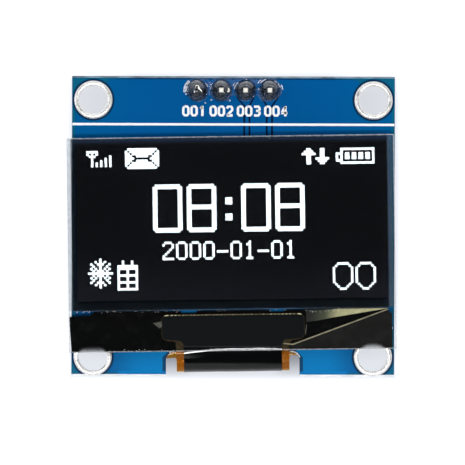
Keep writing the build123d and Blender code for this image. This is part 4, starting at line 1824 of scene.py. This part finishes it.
@dataclass
class Board:
    """The board with its rings and print."""

    shop: Workshop
    thickness: float = 1.2
    hole_r: float = 1.5
    ring_r: float = 2.0
    plating: float = 0.05
    rise: float = 0.14
    lip: float = 0.03
    hole_span: Point2 = (29.34, 26.88)
    ring_steps: int = 72
    pin_row_y: float = 14.44
    label_drop: float = 2.15
    label_h: float = 0.92
    label_w: float = 0.54
    label_step: float = 0.86
    label_pitch: float = 2.86
    label_center: float = 0.17
    label_stroke: float = 0.26
    line_y: float = 10.88
    line_w: float = 0.25
    line_half: float = 16.86
    print_t: float = 0.02
    foil_t: float = 0.04
    slot_w: float = 14.0
    slot_top: float = -12.95
    slot_corner: float = 0.9

    def make_rings(self) -> None:
        """Repeats one tinned hole lining on the four corners."""
        width, crowns = self.ring_r - self.hole_r, []
        for face, side in ((self.thickness, 1), (0.0, -1)):
            crown = []
            for step in range(9):
                share = step / 8
                bulge = math.sin(math.pi * share) ** 0.8
                height = self.lip * (1 - share) + (self.rise - self.lip / 2) * bulge
                crown.append((self.hole_r + width * share, face + side * height))
            crowns.append(crown)
        inner = [(self.hole_r + self.plating, self.thickness), (self.hole_r + self.plating, 0.0)]
        ring = lathe("ring_pattern", crowns[0] + inner + crowns[1][::-1], self.ring_steps, closed=True)
        points = [(x * self.hole_span[0] / 2, y * self.hole_span[1] / 2, 0) for y in (1, -1) for x in (-1, 1)]
        rings = self.shop.repeat("hole_rings", ring, points, RING_TIN.material(), smooth=True, turn=6.28)
        rings.data.set_sharp_from_angle(angle=math.radians(50))
        settle(rings, "tinned", *[f"mounting_ring_{number}" for number in range(1, 5)])

    def make_labels(self) -> None:
        """Prints a plain number under each pin."""
        chains = []
        height = self.thickness + self.foil_t + self.print_t / 2
        middle_y = self.pin_row_y - self.label_drop
        for index, mark in enumerate("001002003004"):
            number, place = divmod(index, 3)
            center = self.label_center + (number - 1.5) * self.label_pitch + (place - 1) * self.label_step
            for chain in LABEL_MARKS[mark]:
                across = [center + (x - 0.5) * self.label_w for x, _ in chain]
                along = [middle_y + (y - 0.5) * self.label_h for _, y in chain]
                chains.append([(x, y, height) for x, y in zip(across, along)])
        section = (self.label_stroke, self.print_t)
        self.shop.stroke("pin_numbers", chains, section, PRINT.material(), "white_print")

    def make_slot_shine(self) -> None:
        """Lays pale strokes round the slot's upper corners: their bare milled edges, with a painted
        highlight.
        """
        radius = self.slot_corner + 0.1
        for name, side, start, end in (("right", 1, 96, 22), ("left", -1, 80, 122)):
            center = (side * (self.slot_w / 2 - self.slot_corner), self.slot_top - self.slot_corner)
            line = [(x, y, self.thickness + 0.02) for x, y in arc_points(center, radius, start, end, 10)]
            self.shop.stroke(f"slot_edge_{name}", [line], (0.085, 0.02), DUST_AND_GLINT.material(), "board")

    def make(self) -> None:
        """Builds the rings and the print and dresses the board's nodes."""
        dress(BOARD_MASK.material(), "circuit_board")
        dress(COPPER_MASK.material(), "front_pour", "signal_trace_")
        low = self.thickness + self.foil_t + 0.001
        line = box(2 * self.line_half, self.line_w, (0.0, self.line_y))
        lay("printed_line", line, (low, low + self.print_t), PRINT.material(), "white_print", "silk_line")
        self.make_rings()
        self.make_labels()
        self.make_slot_shine()


# Pale arcs round the joints, partly dried flux edges and partly painted highlights: pin, radius, first and
# last angle in degrees, and width
CRUST_AND_GLINT_ARCS = (
    (0, 1.3, 128, 186, 0.3),
    (0, 1.14, 150, 178, 0.14),
    (0, 1.2, 28, 44, 0.1),
    (1, 1.16, 150, 172, 0.08),
    (2, 1.2, 132, 172, 0.12),
    (2, 1.42, 140, 156, 0.12),
    (3, 1.3, 108, 140, 0.1),
    (3, 1.5, 128, 148, 0.1),
    (3, 1.16, 20, 66, 0.1),
    (3, 1.36, 6, 30, 0.12),
)


@dataclass
class Header:
    """The pin header with its hand-soldered joints and the flux round them."""

    shop: Workshop
    pins: int = 4
    pitch: float = 2.54
    row_y: float = 14.44
    board_t: float = 1.2
    pad_r: float = 1.04
    hole_r: float = 0.5
    height: float = 1.37
    pin_w: float = 0.64
    rings: int = 14
    steps: int = 40
    seed: int = 21
    flux_drop: float = 1.68
    flux_lift: float = 0.042
    flux_cell: float = 0.1
    flux_cells: tuple[int, int] = (128, 30)

    def pin_x(self, index: int) -> float:
        """Returns one pin's place along the row."""
        return (index - (self.pins - 1) / 2) * self.pitch

    def joint_mesh(self, index: int, source: random.Random) -> Mesh:
        """Builds one wetted joint with a slightly uneven dome.

        Args:
            index: which pin it is on.
            source: seeded random numbers.

        Returns:
            The joint's mesh.
        """
        lean = (source.uniform(-0.05, 0.05), source.uniform(0.0, 0.08))
        phase = source.uniform(0, math.tau)
        waist = source.uniform(0.5, 0.75)
        count, center_x = self.steps, self.pin_x(index)
        angles = [math.tau * step / count for step in range(count)]
        points, faces = [], []
        for ring in range(self.rings + 1):
            share = ring / self.rings
            radius = self.pad_r * (1 - share ** (1.6 + waist)) ** 0.55
            radius = max(radius, self.pin_w * 0.3 * (1 - share) + self.pin_w * 0.71)
            for angle in angles:
                uneven = 1 + 0.05 * math.sin(
                    2 * angle + phase
                ) * (1 - share) + 0.03 * math.sin(3 * angle - phase)
                x = center_x + lean[0] * share + radius * uneven * math.cos(angle)
                y = self.row_y + lean[1] * share + radius * uneven * math.sin(angle)
                points.append((x, y, self.board_t + self.height * share))
        stem = len(points)
        for z in (self.board_t, 0.0):
            for angle in angles:
                x, y = center_x + self.hole_r * math.cos(angle), self.row_y + self.hole_r * math.sin(angle)
                points.append((x, y, z))
        for step in range(count):
            after = (step + 1) % count
            for row in range(0, self.rings * count, count):
                faces.append([row + step, row + after, row + count + after, row + count + step])
            faces.append([step, stem + step, stem + after, after])
            faces.append([stem + step, stem + count + step, stem + count + after, stem + after])
        faces.append(range(stem - count, stem))
        faces.append(range(stem + 2 * count - 1, stem + count - 1, -1))
        return tidy_mesh(mesh_of(f"joint_{index + 1}", points, faces))

    def flux_height(self, x: float, y: float, phases: Sequence[float]) -> float:
        """Returns how thick the residue lies at one place.

        Args:
            x, y: the place on the board.
            phases: seeded offsets of its slow waves.

        Returns:
            The thickness in millimetres, 0 outside the puddle.
        """
        height = 0.0
        for index in range(self.pins):
            center_x = self.pin_x(index)
            angle = math.atan2(y - self.row_y, x - center_x)
            spread = 0.4 + 0.1 * math.sin(angle + phases[index]) + 0.06 * math.sin(
                3 * angle + phases[index + 4]
            )
            spread *= 0.75 + 0.25 * math.sin(angle)
            beyond = max(0.0, math.hypot(x - center_x, y - self.row_y) - self.pad_r + 0.1)
            height = max(height, 0.11 * math.exp(-((beyond / spread) ** 2)))
        ripple = 1 + 0.2 * math.sin(3.1 * x + phases[2]) * math.sin(4.3 * y + phases[5])
        return max(0.0, height * ripple - 0.008)

    def make_flux(self, source: random.Random) -> None:
        """Spreads one clear puddle of residue round all the joints.

        Args:
            source: seeded random numbers.
        """
        phases = [source.uniform(0, math.tau) for _ in range(8)]
        cell, (wide, tall) = self.flux_cell, self.flux_cells
        left, foot = -cell * wide / 2, self.row_y - self.flux_drop
        base = self.board_t + self.flux_lift
        spots = {
            (i, j): self.flux_height(left + cell * i, foot + cell * j, phases)
            for j in range(tall + 1)
            for i in range(wide + 1)
        }
        squares = {
            (i, j): [
                (i, j), (i + 1, j), (i + 1, j + 1), (i, j + 1)
            ] for j in range(tall) for i in range(wide)
        }
        kept = {
            spot: square for spot, square in squares.items() if min(spots[corner] for corner in square) > 0
        }
        numbers: dict[tuple[int, int, int], int] = {}
        points, faces = [], []

        def corner(i: int, j: int, top: int) -> int:
            """Returns the number of one corner, and adds it if it is new.

            Args:
                i, j: its column and row.
                top: 1 on the skin and 0 on the board.

            Returns:
                Its number among the points.
            """
            if (i, j, top) not in numbers:
                numbers[(i, j, top)] = len(points)
                height = base + (0.002 + spots[(i, j)] if top else 0)
                points.append((left + cell * i, foot + cell * j, height))
            return numbers[(i, j, top)]

        for (i, j), square in kept.items():
            for top in (1, 0):
                faces.append([corner(*spot, top) for spot in square])
            for side, (across, along) in enumerate(((0, -1), (1, 0), (0, 1), (-1, 0))):
                if (i + across, j + along) not in kept:
                    first, second = square[side], square[(side + 1) % 4]
                    faces.append(
                        [corner(*first, 0), corner(*second, 0), corner(*second, 1), corner(*first, 1)]
                    )
        mesh = tidy_mesh(mesh_of("flux", points, faces))
        settle(link_piece("flux_residue", mesh, FLUX.material(), smooth=True), "solder")

    def make_blob(
        self, name: str, profile: Sequence[Point2], steps: int, place: Sequence[float], finish: Material
    ) -> None:
        """Turns one small drop of solder.

        Args:
            name: the piece's name.
            profile: its radii and heights from the top down.
            steps: how many sectors it has.
            place: its foot in millimetres.
            finish: its material.
        """
        drop = lathe(name, [*profile, (0.0, 0.0)], steps, closed=False)
        drop.transform(Matrix.Translation(Vector(place) * MM))
        settle(link_piece(name, drop, finish, smooth=True), "solder")

    def make_solder_glints(self, solder: Material) -> None:
        """Adds painted highlights on the solder, a bright blob beside the second pin and bright streaks over
        the first, a solder cap over the first pin, and a dark patch of painted shade for its pit.

        Args:
            solder: the dark material of the joints.
        """
        # Painted highlights: a bright blob and two bright streaks stand for glints on the dark solder.
        bright = PIN.material()
        blob = [(0.0, 0.1), (0.1, 0.13), (0.2, 0.1), (0.26, 0.0)]
        self.make_blob("solder_blob", blob, 24, (-0.6, self.row_y, 2.12), bright)
        cap = [(0.0, 0.28), (0.2, 0.26), (0.42, 0.14), (0.56, 0.0)]
        self.make_blob("first_pin_solder", cap, 28, (self.pin_x(0), self.row_y - 0.05, 2.5), solder)
        long = [(-4.02, 14.5), (-3.9, 14.86), (-3.7, 14.84), (-3.72, 14.6), (-3.5, 14.42), (-3.28, 14.2)]
        long += [(-3.3, 14.36), (-3.5, 14.6), (-3.62, 14.9), (-3.95, 14.95)]
        short = [(-4.16, 14.16), (-4.06, 14.4), (-3.98, 14.38), (-4.06, 14.14)]
        for number, outline in enumerate((long, short), start=1):
            lay(f"solder_streak_{number}", outline, (2.72, 2.8), bright, "solder", bevel=0.02, smooth=True)
        # Painted shade: a dark patch stands for the shade in the solder's pit.
        pit = [(0.0, 0.02), (0.2, 0.02), (0.22, 0.0)]
        self.make_blob("solder_pit", pit, 20, (-3.78, 14.1, 2.72), MOULDING.material())

    def make_crust_and_glints(self) -> None:
        """Adds the pale edges of the residue, partly dried flux and partly painted highlights, and a few pale
        specks that are partly painted glints.
        """
        finish = CRUST_AND_GLINT.material()
        for number, (pin, radius, start, end, stroke) in enumerate(CRUST_AND_GLINT_ARCS, start=1):
            center = (self.pin_x(pin), self.row_y - 0.06)
            line = [(x, y, self.board_t + 0.14) for x, y in arc_points(center, radius, start, end, 8)]
            self.shop.stroke(f"flux_edge_{number}", [line], (stroke, 0.02), finish, "solder")
        specks = [(-2.94, 13.13), (-0.38, 13.39), (-2.31, 13.45), (2.66, 14.6), (-4.95, 14.05)]
        profile = [(0.0, 0.09), (0.06, 0.075), (0.09, 0.03), (0.1, 0.0), (0.0, 0.0)]
        bead = lathe("bead_pattern", profile, 12, closed=False)
        points = [(x, y, self.board_t + 0.045) for x, y in specks]
        settle(self.shop.repeat("flux_beads", bead, points, finish, smooth=True), "solder")

    def make(self) -> None:
        """Builds the joints and dresses the header."""
        dress(HOUSING.material(), "header_housing")
        dress(PIN.material(), "header_pin_")
        solder = SOLDER.material()
        source = random.Random(self.seed)
        for index in range(self.pins):
            mesh = self.joint_mesh(index, source)
            piece = link_piece(f"wetted_joint_{index + 1}", mesh, solder, smooth=True)
            mesh.set_sharp_from_angle(angle=math.radians(50))
            settle(piece, "solder", f"solder_joint_{index + 1}")
        self.make_solder_glints(solder)
        self.make_flux(source)
        self.make_crust_and_glints()


@dataclass
class BackParts:
    """The parts on the board's back, with end caps, print and vias."""

    shop: Workshop
    pitch: float = 3.4
    rows: tuple[float, float] = (-1.2, -5.2)
    package_y: float = 5.6
    regulator_x: float = -8.6
    diode_x: float = 8.6
    beside: float = 4.2
    chip_l: float = 1.6
    chip_w: float = 0.8
    cap_l: float = 0.3
    skin: float = 0.012
    heights: tuple[float, float] = (0.45, 0.8)
    print_w: float = 0.13
    print_t: float = 0.02
    upper_vias: tuple[Point2, ...] = (
        (-13.6, 9.4), (-11.9, 2.2), (-3.2, 9.8), (2.4, 8.6), (5.0, 2.3), (12.6, 8.2)
    )
    lower_vias: tuple[Point2, ...] = ((13.9, 0.6), (11.6, -3.1), (-13.2, -3.3), (-14.2, -9.3), (14.0, -8.4))

    def places(self) -> tuple[list[Point2], list[Point2]]:
        """Works out where the small chip parts are.

        Returns:
            The centres of the resistors and of the capacitors.
        """
        xs = [(index - 2.5) * self.pitch for index in range(6)]
        resistors = [(x, self.rows[0]) for x in xs]
        capacitors = [(x, self.rows[1]) for x in xs]
        capacitors += [(self.regulator_x + side * self.beside, self.package_y) for side in (-1, 1)]
        return resistors, capacitors

    def make_caps(self, finish: Material) -> None:
        """Repeats tinned end caps on the chip parts.

        Args:
            finish: the tinned material.
        """
        outline = box(self.chip_w + 2 * self.skin, self.cap_l)
        reach = self.chip_l / 2 + self.skin - self.cap_l / 2
        for name, centers, height in zip(("resistor_caps", "capacitor_caps"), self.places(), self.heights):
            block = tidy_mesh(prism("cap_pattern", outline, -height - self.skin, -0.01), 0.05)
            points = [(x, y + side * reach, 0) for x, y in centers for side in (-1, 1)]
            settle(self.shop.repeat(name, block, points, finish), "tinned")

    def make_print(self) -> None:
        """Prints plain outlines round the chip parts and the header."""
        boxes = [
            box(self.chip_w + 0.7, self.chip_l + 1.2, center) for group in self.places() for center in group
        ]
        boxes.append(box(3.4, 1.5, (self.regulator_x, self.package_y)))
        boxes.append(box(2.1, 3.1, (self.diode_x, self.package_y)))
        boxes.append(box(10.6, 2.8, (0, 14.44)))
        loops = [[(x, y, -self.print_t / 2) for x, y in corners] for corners in boxes]
        section = (self.print_w, self.print_t)
        self.shop.stroke("back_print", loops, section, PRINT.material(), "white_print", closed=True)

    def make_vias(self, finish: Material) -> None:
        """Repeats small tinned vias on the back.

        Args:
            finish: the tinned material.
        """
        profile = [(0.0, -0.01), (0.12, -0.012), (0.2, -0.03), (0.3, -0.025), (0.3, -0.002), (0.0, -0.002)]
        via = lathe("via_pattern", profile, 16, closed=False)
        points = [(x, y, 0) for x, y in self.upper_vias + self.lower_vias]
        settle(self.shop.repeat("back_vias", via, points, finish, smooth=True), "tinned")

    def make(self) -> None:
        """Dresses the parts and adds caps, print and vias."""
        tin = TIN.material()
        dress(MOULDING.material(), "regulator_body", "diode_body")
        dress(tin, "regulator_leads", "diode_leads", "chip_solder", "tail_fingers")
        dress(RESISTOR.material(), "resistor_")
        dress(CAPACITOR.material(), "capacitor_")
        self.make_caps(tin)
        self.make_print()
        self.make_vias(tin)


@dataclass
class Studio:
    """Floor, lamps, sky and camera."""

    floor_z: float = -8.6
    floor_size: float = 6000.0
    distance: float = 500.0
    face_z: float = 1.2
    view_size: float = 48.69
    aim: Point2 = (-0.063, -0.43)
    roll: float = 0.16
    sky: float = 0.92
    dark_cap: float = 0.014
    painted_shadow_glow: float = 0.66
    open_glow: float = 0.72
    under: Point2 = (17.2, 15.8)

    def make_floor(self) -> None:
        """Lays the pale floor, which keeps the shadow and shows white, with painted shadow under the module:
        a darker colour, a dimmer glow and two dim patches below the slot's sides.
        """
        heights = (self.floor_z - 10, self.floor_z)
        mesh = prism("floor", box(self.floor_size, self.floor_size), *heights)
        shader = Shader("pale_floor")
        path = shader.node("ShaderNodeLightPath").outputs
        seen = shader.math("MAXIMUM", path["Is Camera Ray"], path["Is Glossy Ray"])
        seen = shader.math("MAXIMUM", seen, path["Is Transmission Ray"])
        aside, along = shader.aside(), shader.axis(Axis3.Y)
        past_x = shader.math("SUBTRACT", aside, self.under[0] * MM)
        past_y = shader.math("SUBTRACT", shader.math("ABSOLUTE", along), self.under[1] * MM)
        past = shader.math("MAXIMUM", past_x, past_y)
        # Painted shadow: two soft patches below the slot's sides, where the glow is dimmed.
        slot_shadow_x = shader.band(aside, 6.2, 0.6, 1.8)
        slot_shadow_y = shader.span(along, -16.2, -13.6, 0.0, 0.72)
        slot_shadow_y = shader.times(slot_shadow_y, shader.span(along, -9, -12.6))
        outside_slot_shadows = shader.math("SUBTRACT", 1.0, shader.times(slot_shadow_x, slot_shadow_y))
        # Painted shadow: the glow is dimmer under the module.
        outside = shader.span(past, -0.5, 1.5, self.painted_shadow_glow, self.open_glow)
        outside = shader.times(outside, outside_slot_shadows)
        open_floor = shader.span(past, -0.5, 1.5)
        # Painted shadow: the floor's own colour is much darker under the module.
        shadowed_matt_color = shader.blend(open_floor, (0.17, 0.18, 0.21, 1), (0.86, 0.88, 0.93, 1))
        matt = shader.node("ShaderNodeBsdfDiffuse", {"Color": shadowed_matt_color}).outputs[0]
        glow_color = shader.blend(open_floor, (0.93, 0.96, 1.0, 1), (0.98, 0.985, 1.0, 1))
        glow_inputs = {"Color": glow_color, "Strength": shader.times(seen, outside)}
        glow = shader.node("ShaderNodeEmission", glow_inputs).outputs[0]
        surface = shader.node("ShaderNodeAddShader", {0: matt, 1: glow}).outputs[0]
        floor = link_piece("floor", mesh, shader.finish(surface))

    def make_sky(self) -> None:
        """Sets an even pale sky, dark straight above as behind a camera, and white where it is seen."""
        world = bpy.data.worlds.new("studio")
        bpy.context.scene.world = world
        world.use_nodes = True
        tree = world.node_tree
        tree.nodes.clear()
        outward = add_node(tree, "ShaderNodeTexCoord").outputs["Generated"]
        rise = add_node(tree, "ShaderNodeSeparateXYZ", {0: outward}).outputs["Z"]
        levels = {
            "Value": rise, "From Min": 0.62, "From Max": 0.84, "To Min": self.sky, "To Max": self.dark_cap
        }
        cap = add_node(tree, "ShaderNodeMapRange", levels, interpolation_type="SMOOTHSTEP").outputs[0]
        soft = add_node(tree, "ShaderNodeBackground", {"Strength": cap}).outputs[0]
        white = add_node(tree, "ShaderNodeBackground", {"Strength": 1.0}).outputs[0]
        seen = add_node(tree, "ShaderNodeLightPath").outputs["Is Camera Ray"]
        mixed = add_node(tree, "ShaderNodeMixShader", {0: seen, 1: soft, 2: white}).outputs[0]
        add_node(tree, "ShaderNodeOutputWorld", {"Surface": mixed})

    def make_lamp(self, name: str, place: Sequence[float], size: Point2, power: float) -> None:
        """Hangs one soft box that faces the module.

        Args:
            name: its name.
            place: its centre in millimetres.
            size: its width and height in millimetres.
            power: its strength in watts.
        """
        light = bpy.data.lights.new(name, "AREA")
        light.shape = "RECTANGLE"
        light.size, light.size_y = size[0] * MM, size[1] * MM
        light.energy = power
        lamp = bpy.data.objects.new(name, light)
        lamp.location = Vector(place) * MM
        lamp.rotation_euler = (-Vector(place)).to_track_quat("-Z", "Y").to_euler()
        bpy.context.scene.collection.objects.link(lamp)

    def make_camera(self) -> None:
        """Sets the camera straight above the module, as far off as the photograph shows."""
        data = bpy.data.cameras.new("camera")
        data.sensor_width = 36.0
        data.sensor_fit = "AUTO"
        data.lens = 36.0 * self.distance / self.view_size
        data.clip_start, data.clip_end = 0.01, 10.0
        camera = bpy.data.objects.new("camera", data)
        camera.location = Vector((self.aim[0], self.aim[1], self.face_z + self.distance)) * MM
        camera.rotation_euler = (0, 0, math.radians(self.roll))
        bpy.context.scene.collection.objects.link(camera)
        bpy.context.scene.camera = camera

    def make(self) -> None:
        """Builds the whole studio."""
        self.make_floor()
        self.make_sky()
        self.make_lamp("front_box", (0, -82, 300), (220, 46), 0.57)
        self.make_lamp("rear_box", (0, 220, 200), (260, 100), 0.11)
        self.make_lamp("left_box", (-260, 30, 200), (120, 200), 0.09)
        self.make_camera()
        view = bpy.context.scene.view_settings
        view.view_transform = "Standard"


def main() -> None:
    """Builds every sub-assembly in order."""
    logging.basicConfig(level=logging.INFO, format="%(message)s")
    shop = Workshop()
    panel = Panel(shop)
    Studio().make()
    Board(shop).make()
    Header(shop).make()
    panel.make_sheets()
    panel.make_dust()
    panel.dress_nodes()
    Screen(panel).make()
    Cable(panel).make()
    Tapes(panel).make()
    BackParts(shop).make()


if __name__ == "__main__":
    main()
